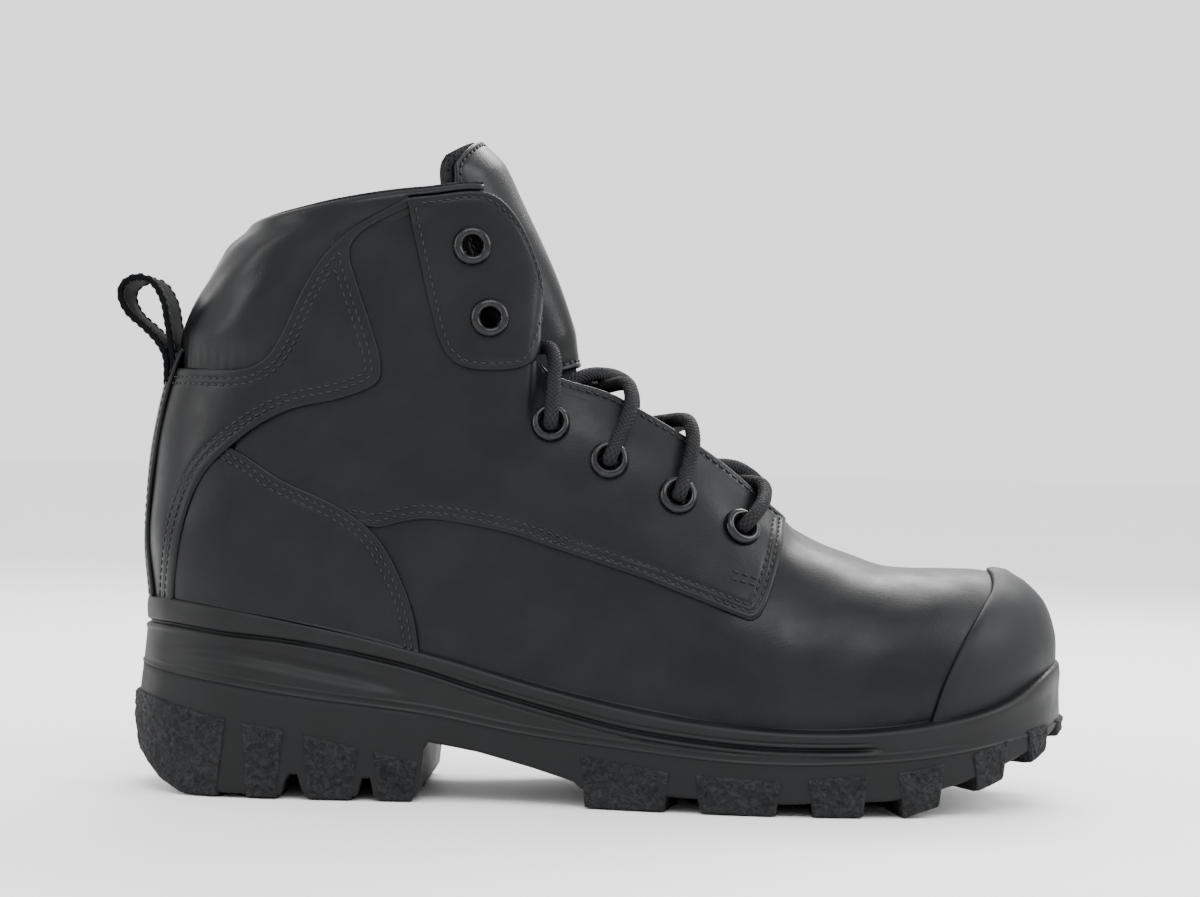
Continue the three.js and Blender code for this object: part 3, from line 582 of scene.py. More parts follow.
# %% The last's ribs and surface
RIBS = np.array([
    [(305, 0, 45), (304.5, 0, 56), (300, 0, 66.5), (291, 0, 73.5), (281, 0, 76.2), (270, 0, 76.6)],
    [(298, 22, 40), (297.5, 22, 52), (293, 20.5, 63), (285, 16, 71), (276, 9, 75.5), (266, 0, 76.5)],
    [(280, 38.5, 33), (279.5, 39, 47), (276, 36.5, 58), (270, 29.5, 67.5), (264, 17, 74),
     (258, 0, 76.4)],
    [(255, 47, 28.5), (254.5, 47.5, 42), (252, 44.5, 54), (248.5, 36, 65.5), (246, 21, 74),
     (244, 0, 78.4)],
    [(228, 50, 26.5), (228, 50, 40), (226.5, 46.5, 54), (225, 37.5, 67.5), (223.5, 22, 79.5),
     (222, 0, 87)],
    [(203, 48.5, 27), (203.5, 48, 42), (204.5, 44.5, 57), (207, 36.5, 72), (210, 26, 85),
     (213, 10, 94)],
    [(182, 45, 29.5), (182.5, 44.5, 48), (184, 42, 65), (186, 37.5, 82), (188, 31, 98),
     (190, 20, 113)],
    [(155, 41, 34), (155.5, 40.5, 55), (156.5, 39, 75), (158, 36.5, 95), (159, 31.5, 114),
     (160, 21.5, 130.5)],
    [(135, 38.5, 38.5), (135, 38, 60), (135, 36.7, 82), (135, 34.4, 104), (134.5, 30.5, 124),
     (134, 24, 141.5)],
    [(118, 36.5, 42.5), (119, 36.5, 69), (121.5, 35.4, 96), (125, 33.3, 122), (129, 29.8, 148),
     (132, 24.5, 173)],
    [(100, 36, 47), (101, 36.7, 76), (104, 35, 106), (108, 33.5, 136), (113, 31.5, 166),
     (119, 28.2, 194.5)],
    [(80, 36, 52), (80.5, 37, 80), (82, 35.2, 108), (85, 34, 136), (90, 33.8, 165), (95, 33.5, 193.5)],
    [(56, 36, 57), (56, 37.5, 82), (57, 35.5, 108), (60, 33.8, 135), (65, 34.5, 162), (70, 35.5, 189.5)],
    [(33, 32, 60.5), (31, 33.5, 84), (32, 30.8, 108), (35, 28.8, 133), (41.5, 29, 160), (50, 29, 185.5)],
    [(16, 21, 62.5), (14, 22.5, 85), (15, 19.8, 108), (19, 18, 133), (29, 17.5, 160), (41, 16, 184.2)],
    [(8.5, 0, 63), (7, 0, 85), (8.5, 0, 110), (13, 0, 135), (23.5, 0, 160), (37, 0, 183.6)],
], float)
LAST_RIB = len(RIBS) - 1
LAST_ROW = RIBS.shape[1] - 1
THROAT_RIB = 4
FLIP = np.array([1, -1, 1])


def control_net():
    """The ribs with one more row and rib at each end, for the surface to run out on."""
    rows = []
    for rib in RIBS:
        closed = rib[-1][1] == 0 and rib[0][1] != 0
        above = rib[-2] * FLIP if closed else 2 * rib[-1] - rib[-2]
        rows.append([2 * rib[0] - rib[1], *rib, above])
    rows = np.array(rows)
    return np.array([rows[1] * FLIP, *rows, rows[-2] * FLIP])


NET = control_net()


def catmull(a, b, c, d, t):
    return 0.5 * (2 * b + (c - a) * t + (2 * a - 5 * b + 4 * c - d) * t**2
                  + (3 * b - a - 3 * c + d) * t**3)


def skin(u, v):
    """Points of the last's surface, on the +y side."""
    u = np.clip(np.asarray(u, float), 0, LAST_RIB)
    v = np.clip(np.asarray(v, float), 0, LAST_ROW)
    rib = np.minimum(u.astype(int), LAST_RIB - 1)
    row = np.minimum(v.astype(int), LAST_ROW - 1)
    across = (v - row)[:, None]
    four = [catmull(*[NET[rib + k, row + m] for m in range(4)], across) for k in range(4)]
    return catmull(*four, (u - rib)[:, None])


def on_middle(u, v):
    return (u <= 0) | (u >= LAST_RIB) | ((v >= LAST_ROW) & (u <= THROAT_RIB))


def skin_normal(u, v):
    step = 0.02
    along = skin(u + step, v) - skin(u - step, v)
    up = skin(u, v + step) - skin(u, v - step)
    normal = np.cross(along, up)
    normal[on_middle(u, v), 1] = 0
    return normal / np.linalg.norm(normal, axis=1)[:, None]


SKIRT = 7


def off_skin(u, v, height):
    """Points at a height over the surface. Below v = 0 the shell goes straight down, by SKIRT
    millimetres for each unit of v."""
    points = skin(u, v) + skin_normal(u, v) * np.reshape(height, (-1, 1))
    points[:, 2] += SKIRT * np.minimum(v, 0)
    points[on_middle(u, v), 1] = 0
    return points


print("the last is", RIBS[..., 0].max() - RIBS[..., 0].min(), "mm long inside the sole's rim")

# %% [markdown]
# ## Cutting panels
# Leather panels are cut from flat stock along an outline, laid over each other and stitched
# near the edge. So each panel starts as a grid in u and v, and its third coordinate holds the
# distance to the cutting line. Splitting the grid where that distance is zero gives the cut
# edge; splitting it at a few more distances gives edge loops that run parallel to the cut, for
# the rounded edge and for the groove that the thread pulls into the leather.

# %% Outlines and distances in the side view


def side_line(points, steps=4):
    """A smooth line in the side view."""
    points = np.array(points, float)
    padded = np.vstack([2 * points[0] - points[1], points, 2 * points[-1] - points[-2]])
    t = np.linspace(0, len(points) - 1, (len(points) - 1) * steps + 1)
    i = np.minimum(t.astype(int), len(points) - 2)
    return catmull(*[padded[i + k] for k in range(4)], (t - i)[:, None])


def outline(*parts):
    return np.vstack([np.array(part, float) for part in parts])


PATCH = outline(
    side_line([(90, 199), (92, 188), (95, 175.4), (98.6, 161), (102.2, 148.5), (106, 142),
               (113, 138.5), (127, 138.8), (132, 143), (134.5, 156)]),
    [(145, 170), (145, 215), (90, 215)])
COLLAR = outline(
    side_line([(90, 192.5), (82.9, 188.5), (73.4, 182.5), (64.6, 173.2), (59.3, 164.4),
               (54.7, 154.7), (50.7, 146), (46, 140), (38, 137), (20.6, 137), (-10, 137)]),
    [(-20, 215), (89, 215)])
ANKLE = outline(
    side_line([(95, 191.5), (84, 186.2), (75.8, 180.6), (73.4, 174.5), (76, 165), (80.5, 152),
               (84, 140), (82.5, 133), (71, 128),
               (58.2, 125), (48.7, 121), (39.1, 114.3), (28, 102.8), (22, 88), (19, 69),
               (18.5, 58), (18.5, 44)]),
    [(18.5, 20), (-20, 20), (-20, 215), (95, 215)])
HEEL = outline(
    side_line([(10, 119), (35.6, 112), (52.6, 102), (65.6, 96.5), (77, 90.3), (85, 83),
               (91.5, 72), (96.5, 59), (99, 44)]),
    [(99, 20), (-20, 20), (-20, 119)])
VAMP = outline(
    side_line([(76, 88), (84, 87), (92.2, 89), (102, 90), (124, 86.6), (143, 81), (168.7, 73),
               (188, 66), (204, 60)]),
    side_line([(207, 61.5), (210, 68), (213.5, 80), (215.5, 92)]),
    [(216, 130), (330, 130), (330, 5), (76, 5)])
BUMPER = outline(
    side_line([(281, 84), (283.5, 77), (284.4, 74), (283.4, 70), (279.6, 65), (272.5, 55), (266, 42),
               (262, 30)]),
    [(258, 10), (330, 10), (330, 100), (276, 100)])


def inside_distance(shape, x, z):
    """Signed distance from an outline in the side view, positive inside it."""
    best = np.full(len(x), np.inf)
    inside = np.zeros(len(x), bool)
    for (x0, z0), (x1, z1) in zip(shape, np.roll(shape, -1, axis=0)):
        dx, dz = x1 - x0, z1 - z0
        t = np.clip(((x - x0) * dx + (z - z0) * dz) / max(dx * dx + dz * dz, 1e-12), 0, 1)
        best = np.minimum(best, np.hypot(x - x0 - t * dx, z - z0 - t * dz))
        if z0 != z1:
            crosses = (z0 > z) != (z1 > z)
            inside ^= crosses & (x < x0 + (z - z0) * dx / dz)
    return np.where(inside, best, -best)


def within(shape, extra=0.0):
    """A distance field: positive inside an outline that is grown by extra."""
    def field(u, v):
        points = off_skin(u, v, 0)
        return inside_distance(shape, points[:, 0], points[:, 2]) + extra
    return field


def outside(shape, extra=0.0):
    inner = within(shape)
    return lambda u, v: extra - inner(u, v)


def below_top(u, v):
    """Distance down from the top line. Where the vamp is closed there is no such edge."""
    distance = np.linalg.norm(skin(u, np.minimum(v, LAST_ROW)) - skin(u, np.full(len(u), LAST_ROW)),
                              axis=1)
    return distance + 40 * np.clip(THROAT_RIB - u, 0, None)


def both(*fields):
    return lambda u, v: np.min([field(u, v) for field in fields], axis=0)


# %% Cutting a sheet
U_STEPS = 16
V_STEPS = 20
EDGE_LEVELS = (0, 0.22, 0.55, 1.0, 1.6)
WALL = -1


def set_field(bm, field):
    flat = coords(bm)
    flat[:, 2] = field(flat[:, 0], flat[:, 1])
    set_coords(bm, flat)


def cut_line(bm, level):
    """Splits the faces of a sheet along the line where the third coordinate is at a level."""
    near = 1e-6
    on_line = [v for v in bm.verts if abs(v.co.z - level) < near]
    for edge in list(bm.edges):
        a, b = edge.verts
        high, low = a.co.z - level, b.co.z - level
        if high * low < 0 and min(abs(high), abs(low)) >= near:
            _, middle = bmesh.utils.edge_split(edge, a, high / (high - low))
            middle.co.z = level
            on_line.append(middle)
    bmesh.ops.connect_verts(bm, verts=on_line)


def drop_below(bm, level):
    gone = [v for v in bm.verts if v.co.z < level - 1e-5]
    bmesh.ops.delete(bm, geom=gone, context="VERTS")


def cut_sheet(window, edge, trims=(), rows=(), fine=1.0, groove=0.6):
    """A sheet in u, v and distance from its cut edge, with loops along the edge and each row."""
    u0, u1, v0, v1 = window
    bm = flat_grid(max(int((u1 - u0) * U_STEPS * fine), 2), max(int((v1 - v0) * V_STEPS * fine), 2))
    bmesh.ops.scale(bm, vec=(u1 - u0, v1 - v0, 1), verts=bm.verts)
    bmesh.ops.translate(bm, vec=(u0, v0, 0), verts=bm.verts)
    for trim in trims:
        set_field(bm, trim)
        cut_line(bm, 0)
        drop_below(bm, 0)
    set_field(bm, edge)
    beside = [row + shift for row in rows for shift in (-groove, 0, groove)]
    for level in sorted({*EDGE_LEVELS, *beside}):
        cut_line(bm, level)
    drop_below(bm, 0)
    rim = [e for e in bm.edges if e.is_boundary and all(abs(v.co.z) < 1e-5 for v in e.verts)]
    extruded = bmesh.ops.extrude_edge_only(bm, edges=rim)["geom"]
    for vert in extruded:
        if isinstance(vert, bmesh.types.BMVert):
            vert.co.z = WALL
    return bm


# %% From a cut sheet to leather
EDGE_RADIUS = 1.15
EDGE_DROP = 0.62
PANEL_THICKNESS = 1.3
STITCH_SINK = 0.3
STITCH_WIDTH = 0.55


def rounded_edge(f, radius=EDGE_RADIUS, drop=EDGE_DROP):
    near = 1 - np.clip(f / radius, 0, 1)
    return drop * (1 - np.sqrt(1 - 0.96 * near**2))


def leather_height(lift, rows=(), thickness=PANEL_THICKNESS, radius=EDGE_RADIUS, drop=EDGE_DROP,
                   single=False):
    """How high a panel lies over the last, with its rounded edge and its stitched grooves."""
    def height(u, v, f):
        h = lift - rounded_edge(f, radius, drop)
        for row in rows:
            sewn = ~at_facing(u, v, row) if single else 1
            h = h - STITCH_SINK * np.exp(-((f - row) / STITCH_WIDTH) ** 2) * sewn
        return np.where(f < 0, lift - thickness, h)
    return height


def at_facing(u, v, row):
    """Where a second row would run along the facing, which is sewn with one row only."""
    return (row > 3) & (below_top(u, v) < row + 0.6)


def undulate(points):
    """The slight unevenness of hide over a stiffener, well under half a millimetre."""
    x, y, z = (points * 0.11).T
    return 0.16 * (np.sin(1.1 * x + 0.7 * z) * np.cos(0.9 * z - 0.5 * y)
                   + 0.6 * np.sin(2.3 * x - 1.7 * z + y))


def bend(bm, height, uneven=1.0):
    """Lays a cut sheet over the last."""
    flat = coords(bm)
    u, v, f = flat.T
    base = off_skin(u, v, 0)
    h = height(u, v, f)
    wave = uneven * undulate(base) * np.clip((v + 0.2) / 0.5, 0, 1) * np.clip(f / 3, 0, 1)
    set_coords(bm, off_skin(u, v, h + wave))
    merge(bm, 0.06)
    return bm


def level_lines(bm, levels):
    """The edge chains of a cut sheet that lie at each level, as lists of vertex indices."""
    bm.verts.index_update()
    found = []
    for level in levels:
        links = {}
        for edge in bm.edges:
            a, b = edge.verts
            if abs(a.co.z - level) < 1e-5 and abs(b.co.z - level) < 1e-5:
                links.setdefault(a, []).append(b)
                links.setdefault(b, []).append(a)
        seen = set()
        starts = [v for v in links if len(links[v]) == 1] + list(links)
        for start in starts:
            if start in seen:
                continue
            chain = [start]
            seen.add(start)
            while True:
                following = [v for v in links[chain[-1]] if v not in seen]
                if not following:
                    break
                chain.append(following[0])
                seen.add(following[0])
            if len(chain) > 2:
                found.append([(v.co.x, v.co.y, v.co.z) for v in chain])
    return found


print("outlines", len(PATCH), len(COLLAR), len(ANKLE), len(HEEL), len(VAMP), len(BUMPER), "points")
# %% [markdown]
# ## Stitching
# The seams are lockstitch in thick bonded thread: short, slightly slanted beads that lie in the
# groove they pull. The groove's edge loop is already in each sheet, so the stitches follow it.
# There are more than a thousand, so each is only a small low sphere, pulled long.

# %% Thread
STITCH_PITCH = 2.75
STITCH_LENGTH = 2.25
STITCH_GAUGE = 0.82
STITCH_SLANT = math.radians(9)


def thread_material():
    material, tree, shader, where = start_material(
        "bonded_thread", roughness=0.5, specular_ior_level=0.25)
    twist = add_node(tree, "ShaderNodeTexNoise", scale=3500.0, detail=2.0)
    link(tree, where, twist.inputs["Vector"])
    colours(tree, twist.outputs["Fac"], (0.004, 0.0042, 0.005), (0.013, 0.0137, 0.0155),
            shader.inputs["Base Color"])
    bump(tree, twist.outputs["Fac"], 0.00006, shader, 0.7)
    return material


thread = thread_material()


def stitch_places(chain, height, side, hidden=(), pitch=STITCH_PITCH, single=False):
    """Middles, directions and normals of the stitches along one chain of u, v and distance."""
    u, v, f = np.array(chain, float).T
    points = off_skin(u, v, height(u, v, f))
    normals = skin_normal(u, v)
    lengths = np.concatenate([[0], np.cumsum(np.linalg.norm(np.diff(points, axis=0), axis=1))])
    count = int(lengths[-1] / pitch)
    if count < 1:
        return []
    marks = (np.arange(count) + 0.5) * lengths[-1] / count

    def along(values, at):
        return np.column_stack([np.interp(at, lengths, values[:, k]) for k in range(3)])

    middles, facing = along(points, marks), along(normals, marks)
    ahead = along(points, marks + 0.8) - along(points, marks - 0.8)
    keep = np.ones(count, bool)
    if single:
        at = np.column_stack([np.interp(marks, lengths, values) for values in (u, v)])
        keep = ~at_facing(at[:, 0], at[:, 1], f.mean())
    for shape in hidden:
        keep &= inside_distance(shape, middles[:, 0], middles[:, 2]) < -0.8
    flip = np.array([1, side, 1])
    return [(m * flip, d * flip, n * flip, side) for m, d, n in
            zip(middles[keep], ahead[keep], facing[keep])]


def stitches(name, places, body, slot="textile", gauge=STITCH_GAUGE, length=STITCH_LENGTH):
    """All the stitches of one panel, as one object."""
    bm = bmesh.new()
    for middle, direction, facing, side in places:
        z = Vector(facing).normalized()
        x = Vector(direction).normalized()
        x = (x - z * x.dot(z)).normalized()
        y = z.cross(x)
        turn = Matrix((x, y, z)).transposed() @ Matrix.Rotation(STITCH_SLANT * side, 3, "Z")
        place = Matrix.LocRotScale(Vector(middle) + z * 0.16, turn.to_quaternion(),
                                   (length / 2, gauge / 2, gauge * 0.42))
        bmesh.ops.create_uvsphere(bm, u_segments=6, v_segments=5, radius=1, matrix=place)
    obj = make_object(name, bm, thread)
    if body:
        settle(obj, body, slot)
    print(name, len(places), "stitches")
    return obj


# %% [markdown]
# ## The upper's panels
# The order of the stack is the order of sewing: the vamp lies lowest, the quarters over it, then
# the heel panels, the ankle panels and the eyestay flaps. Each panel runs on for a few
# millimetres under the one that covers it, as a real one does to be caught by the seam.

# %% Making both panels of a pair
UNDERLAP = 6.5
EYELETS = [(112, 178), (118.2, 155), (138.6, 121.5), (157.8, 110), (180, 99), (200.5, 89)]
EYELET_BARREL = 4.0


def locate(x, z):
    """The rib and height of the surface point at (x, z) in the side view."""
    u, v = np.meshgrid(np.arange(0, LAST_RIB, 0.05), np.arange(0, LAST_ROW + 0.01, 0.05))
    u, v = u.ravel(), v.ravel()
    for reach in (0.05, 0.005, 0.0005):
        points = skin(u, v)
        nearest = np.argmin(np.hypot(points[:, 0] - x, points[:, 2] - z))
        around = np.linspace(-reach, reach, 21)
        du, dv = np.meshgrid(around, around)
        u, v = u[nearest] + du.ravel(), v[nearest] + dv.ravel()
    points = skin(u, v)
    nearest = np.argmin(np.hypot(points[:, 0] - x, points[:, 2] - z))
    return float(u[nearest]), float(v[nearest])


EYELET_PLACES = [locate(x, z) for x, z in EYELETS]
EYELET_POINTS = [skin([u], [v])[0] for u, v in EYELET_PLACES]
EYELET_NORMALS = [skin_normal(np.array([u]), np.array([v]))[0] for u, v in EYELET_PLACES]


def punched(*indices):
    """A trim that cuts the eyelet holes."""
    def field(u, v):
        points = off_skin(u, v, 0)
        gaps = [np.linalg.norm(points - EYELET_POINTS[i], axis=1) - EYELET_BARREL - 0.3
                for i in indices]
        return np.min(gaps, axis=0)
    return field


def soften_middle(bm, reach=13.0, turns=40):
    """Takes the slight crease out of a panel where its two halves meet."""
    bm.normal_update()
    near = [v for v in bm.verts
            if abs(v.co.y) < reach and abs(v.normal.z) > 0.55 and not v.is_boundary]
    for _ in range(turns):
        bmesh.ops.smooth_vert(bm, verts=near, factor=0.5, use_axis_x=False, use_axis_y=False,
                              use_axis_z=True)
    return bm


def panel_sheet(spec):
    return cut_sheet(spec["window"], spec["edge"], spec.get("trims", ()), spec.get("rows", ()),
                     spec.get("fine", 1.0))


def make_panels(name, spec, finish, body="boot", slot="leather", whole=False, replaced=None):
    """A panel on each side, or one that goes round both sides, with its stitching."""
    rows = spec.get("rows", ())
    height = spec.get("height") or leather_height(spec["lift"], rows, **spec.get("shape", {}))
    sheet = panel_sheet(spec)
    chains = level_lines(sheet, rows)
    bend(sheet, height, spec.get("uneven", 1.0))
    sides = {"medial": sheet, "lateral": other_side(sheet)}
    made, sewn = {}, {}
    hidden = spec.get("hidden", ())
    for side_name, side in SIDES.items():
        sewn[side_name] = [p for c in chains + spec.get("extra", []) for p in
                           stitch_places(c, height, side, hidden, single=spec.get("single", False))]
    if whole:
        part = soften_middle(merge(joined([sides["medial"], sides["lateral"]]), 1e-3))
        sides = {"": part}
        sewn = {"": sewn["medial"] + sewn["lateral"]}
    for side_name, part in sides.items():
        end = f"_{side_name}" if side_name else ""
        obj = solid(make_object(name + end, part, finish), spec.get("wall", 0.8))
        riding = body.replace("*", side_name)
        if spec.get("blend"):
            made[side_name] = (obj, riding)
        else:
            settle(obj, riding, slot, *[n.replace("*", side_name) for n in replaced or ()])
        if sewn[side_name]:
            thread_obj = stitches(f"{name}_stitches{end}", sewn[side_name],
                                  None if spec.get("blend") else riding)
            if spec.get("blend"):
                made[side_name + "_stitches"] = (thread_obj, riding)
    return made


# %% Vamp
VAMP_SPEC = {
    "window": (0, 11.8, -1, LAST_ROW),
    "edge": both(within(VAMP, UNDERLAP), lambda u, v: below_top(u, v) + 1),
    "trims": (outside(HEEL, UNDERLAP), punched(3, 4, 5)),
    "lift": 0.0, "uneven": 1.6,
}
make_panels("vamp_leather", VAMP_SPEC, leather, whole=True, replaced=("vamp",))

# %% Quarters
QUARTER_ROWS = (2.3, 4.4)
QUARTER_LIFT = 1.25
quarter_edge = both(outside(VAMP), below_top)
TACK_LINES = [((197.5, 75.4), (206.2, 72.9)), ((196.9, 73.2), (205.6, 70.8))]
tacks = [[(*locate(a[0] + (b[0] - a[0]) * k / 4, a[1] + (b[1] - a[1]) * k / 4), 2.9)
          for k in range(5)] for a, b in TACK_LINES]
QUARTER_SPEC = {
    "window": (4.2, 12.8, 0.5, LAST_ROW),
    "edge": quarter_edge,
    "trims": (outside(HEEL, UNDERLAP), outside(ANKLE, UNDERLAP), outside(PATCH, UNDERLAP),
              punched(2, 3, 4, 5)),
    "rows": QUARTER_ROWS, "lift": QUARTER_LIFT, "shape": {"single": True}, "single": True,
    "extra": tacks,
    "hidden": (HEEL, ANKLE, PATCH),
}
make_panels("quarter_leather", QUARTER_SPEC, leather, replaced=("quarter_*",))

# %% Heel panels
HEEL_SPEC = {
    "window": (9.6, LAST_RIB, -1, 3.2),
    "edge": within(HEEL),
    "trims": (outside(ANKLE, UNDERLAP),),
    "rows": (2.3, 4.3), "lift": 2.0,
    "hidden": (ANKLE,),
}
make_panels("heel_leather", HEEL_SPEC, leather, replaced=("heel_panel_*",))

# %% Ankle panels
ANKLE_SPEC = {
    "window": (9.8, LAST_RIB, -1, LAST_ROW),
    "edge": both(within(ANKLE), outside(COLLAR), below_top),
    "trims": (outside(PATCH, UNDERLAP),),
    "rows": (3.0, 5.0), "lift": 2.9,
    "hidden": (PATCH,),
}
make_panels("ankle_leather", ANKLE_SPEC, leather, replaced=("ankle_panel_*",))
# %% [markdown]
# ## Eyestay flaps
# The two top eyelet pairs sit in flaps that the wearer pulls open. The leather bends along the flap's
# rear seam. Here the flap and its backing are made like the other panels and are not blended over the
# hinge: their transforms are only baked into their meshes.

# %% Flaps and their backing
JOINTS = {joint["name"]: joint for joint in frame["joints"]}


def flap_height(lift, rows=()):
    plain = leather_height(0, rows)
    over_ankle = within(ANKLE, 6)

    def height(u, v, f):
        step = np.clip(over_ankle(u, v) / 4, 0, 1)
        return plain(u, v, f) + lift + 1.3 * step
    return height


def bend_over_hinge(obj, flap_body):
    """Bakes the piece's transform into its mesh. The flap's hinge and the direction across it are worked
    out but not used, so the piece is not blended across the seam.
    """
    joint = JOINTS[flap_body.replace("flap_", "flap_open_")]
    hinge = Vector(joint["pos_m"])
    across = Vector(joint["axis"]).cross(Vector((0, 1, 0))).normalized()
    across = across if across.x > 0 else -across
    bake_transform(obj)


FLAP_SPEC = {
    "window": (8.3, 11.3, 2.4, LAST_ROW),
    "edge": both(within(PATCH), below_top),
    "trims": (punched(0, 1),),
    "rows": (2.2,), "height": flap_height(2.75, (2.2,)), "blend": True,
}
BACKING_SPEC = {
    "window": (8.3, 11.3, 2.4, LAST_ROW),
    "edge": both(within(PATCH, -1.5), lambda u, v: below_top(u, v) - 0.5),
    "trims": (punched(0, 1),),
    "height": lambda u, v, f: np.where(f < 0, -2.6, 0.9), "blend": True, "uneven": 0, "wall": 2.6,
}
for label, spec, replaced in (("flap_leather", FLAP_SPEC, "eyestay_flap_"),
                              ("flap_lining", BACKING_SPEC, "flap_backing_")):
    for side_name, (piece, riding) in make_panels(label, spec, leather, body="flap_*").items():
        side = side_name.replace("_stitches", "")
        bend_over_hinge(piece, riding)
        if side == side_name:
            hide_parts(replaced + side)

# %% [markdown]
# ## Rubber toe cover
# A moulded cap of rubber is glued over the toe. It is thicker than leather and its edge is a
# soft round bead, so it has a larger edge radius and its own matt finish.

# %% Rubber finishes


def rubber_material(name, dark, light, low, high, stipple=0.0, pores=0.00003):
    material, tree, shader, where = start_material(name, roughness=0.6, specular_ior_level=0.2)
    patches = placed_group(tree, MOTTLE, where, scale=55.0, low=0.3, high=0.72)
    colours(tree, patches, dark, light, shader.inputs["Base Color"])
    spread(tree, patches, low, high, shader.inputs["Roughness"])
    fine = add_node(tree, "ShaderNodeTexNoise", scale=1900.0, detail=3.0)
    link(tree, where, fine.inputs["Vector"])
    surface = bump(tree, fine.outputs["Fac"], pores, shader, 0.6)
    if stipple:
        rough = add_node(tree, "ShaderNodeTexNoise", scale=560.0, detail=2.0, roughness=0.5,
                         distortion=0.9)
        link(tree, where, rough.inputs["Vector"])
        high = tree.nodes.new("ShaderNodeMapRange")
        high.inputs["From Min"].default_value = 0.4
        high.inputs["From Max"].default_value = 0.66
        link(tree, rough.outputs["Fac"], high.inputs["Value"])
        # Painted highlight and shade: the stipple's raised points are coloured lighter and its pits
        # darker, by the same noise as its bump.
        colours(tree, high.outputs["Result"], dark, light, shader.inputs["Base Color"])
        bump(tree, rough.outputs["Fac"], stipple, shader, 1.0, surface)
    return material


bumper_rubber = rubber_material(
    "toe_rubber", (0.0025, 0.003, 0.0038), (0.0045, 0.005, 0.0062), 0.46, 0.58)
midsole_rubber = rubber_material(
    "midsole_rubber", (0.0028, 0.003, 0.0034), (0.0055, 0.0058, 0.0064), 0.42, 0.56)
tread_rubber = rubber_material("outsole_rubber", (0.003, 0.0032, 0.0036), (0.006, 0.0063, 0.007), 0.52,
                               0.7)
stipple_rubber = rubber_material("stippled_rubber", (0.0035, 0.0037, 0.0042), (0.0125, 0.013, 0.0145),
                                 0.6, 0.8, stipple=0.0011)

# %% Toe cover
BUMPER_LIFT = 2.5
BUMPER_SPEC = {
    "window": (0, 3.3, -1, LAST_ROW),
    "edge": within(BUMPER),
    "height": leather_height(BUMPER_LIFT, thickness=2.6, radius=3.2, drop=1.7),
    "uneven": 0.5, "wall": 1.6,
}
make_panels("toe_cover", BUMPER_SPEC, bumper_rubber, slot="bumper_rubber", whole=True,
            replaced=("toe_bumper",))

# %% [markdown]
# ## Padded collar
# The collar is a leather tube over soft foam. It tucks under the turned edge of the ankle
# panel, swells out over the foam, and is bound at the top by the knitted lining, which rolls
# over the edge and runs down inside. Both use one profile: out from the seam, over the top in
# a half circle, and down the inner side.

# %% The collar's profile
COLLAR_TUCK = 5
PAD_PUFF = 4.6
PAD_TOP = 2.0
PAD_INNER = -5.4
PAD_CENTRE = (PAD_TOP + PAD_INNER) / 2
PAD_RADIUS = (PAD_TOP - PAD_INNER) / 2
ROLL_ROWS = 0.8
ROLL_FROM = 11.05


def smooth_step(x):
    x = np.clip(x, 0, 1)
    return x * x * (3 - 2 * x)


def pad_points(u, v, f, proud=0.0):
    """The collar's profile. Above v = 5 it goes over the top and then down the inside."""
    seam = f - COLLAR_TUCK
    top = below_top(u, np.minimum(v, LAST_ROW))
    swell = smooth_step(seam / 13) ** 0.8
    height = 1.0 + (PAD_PUFF - 1.0) * swell
    height = PAD_TOP + (height - PAD_TOP) * smooth_step(top / 11)
    pucker = 0.28 * np.sin(u * 34) * np.exp(-np.clip(seam - 2.5, 0, None) / 3.5) * smooth_step(seam / 2)
    folds = 0.35 * np.sin(u * 5.3 + v * 2.1) * np.sin(v * 7 + u * 1.9) * swell
    outer = off_skin(u, np.minimum(v, LAST_ROW), height + proud + pucker + folds * smooth_step(top / 8))
    past = np.clip(v - LAST_ROW, 0, None)
    angle = math.pi * np.clip(past / ROLL_ROWS, 0, 1)
    rim_u, rim_v = u, np.full(len(u), float(LAST_ROW))
    rim = skin(rim_u, rim_v)
    out = skin_normal(rim_u, rim_v)
    up = skin(rim_u, rim_v) - skin(rim_u, rim_v - 0.05)
    up /= np.linalg.norm(up, axis=1)[:, None]
    radius = PAD_RADIUS + proud
    over = rim + out * (PAD_CENTRE + radius * np.cos(angle))[:, None] \
        + up * (radius * 0.9 * np.sin(angle))[:, None]
    down = np.clip(past - ROLL_ROWS, 0, None)
    inner_v = LAST_ROW - down
    inner_depth = PAD_INNER - proud - 1.4 * np.sin(math.pi * np.clip(down / 1.6, 0, 1))
    inner = off_skin(u, inner_v, inner_depth)
    points = np.where((past > 0)[:, None], over, outer)
    points = np.where((past > ROLL_ROWS)[:, None], inner, points)
    points[:, 1] = np.where(u >= LAST_RIB, 0, points[:, 1])
    return points


def collar_sheet(window, proud, rows=()):
    roll_start = lambda u, v: np.where(v > LAST_ROW - 0.05, (u - ROLL_FROM) * 14, 50)
    bm = cut_sheet(window, both(within(COLLAR, COLLAR_TUCK), outside(PATCH, 1.0), roll_start),
                   rows=rows)
    flat = coords(bm)
    f = np.where(flat[:, 2] < 0, 0, within(COLLAR, COLLAR_TUCK)(flat[:, 0], flat[:, 1]))
    set_coords(bm, pad_points(flat[:, 0], flat[:, 1], f, proud))
    merge(bm, 0.05)
    return merge(joined([bm, other_side(bm)]), 1e-3)


# %% Knitted lining


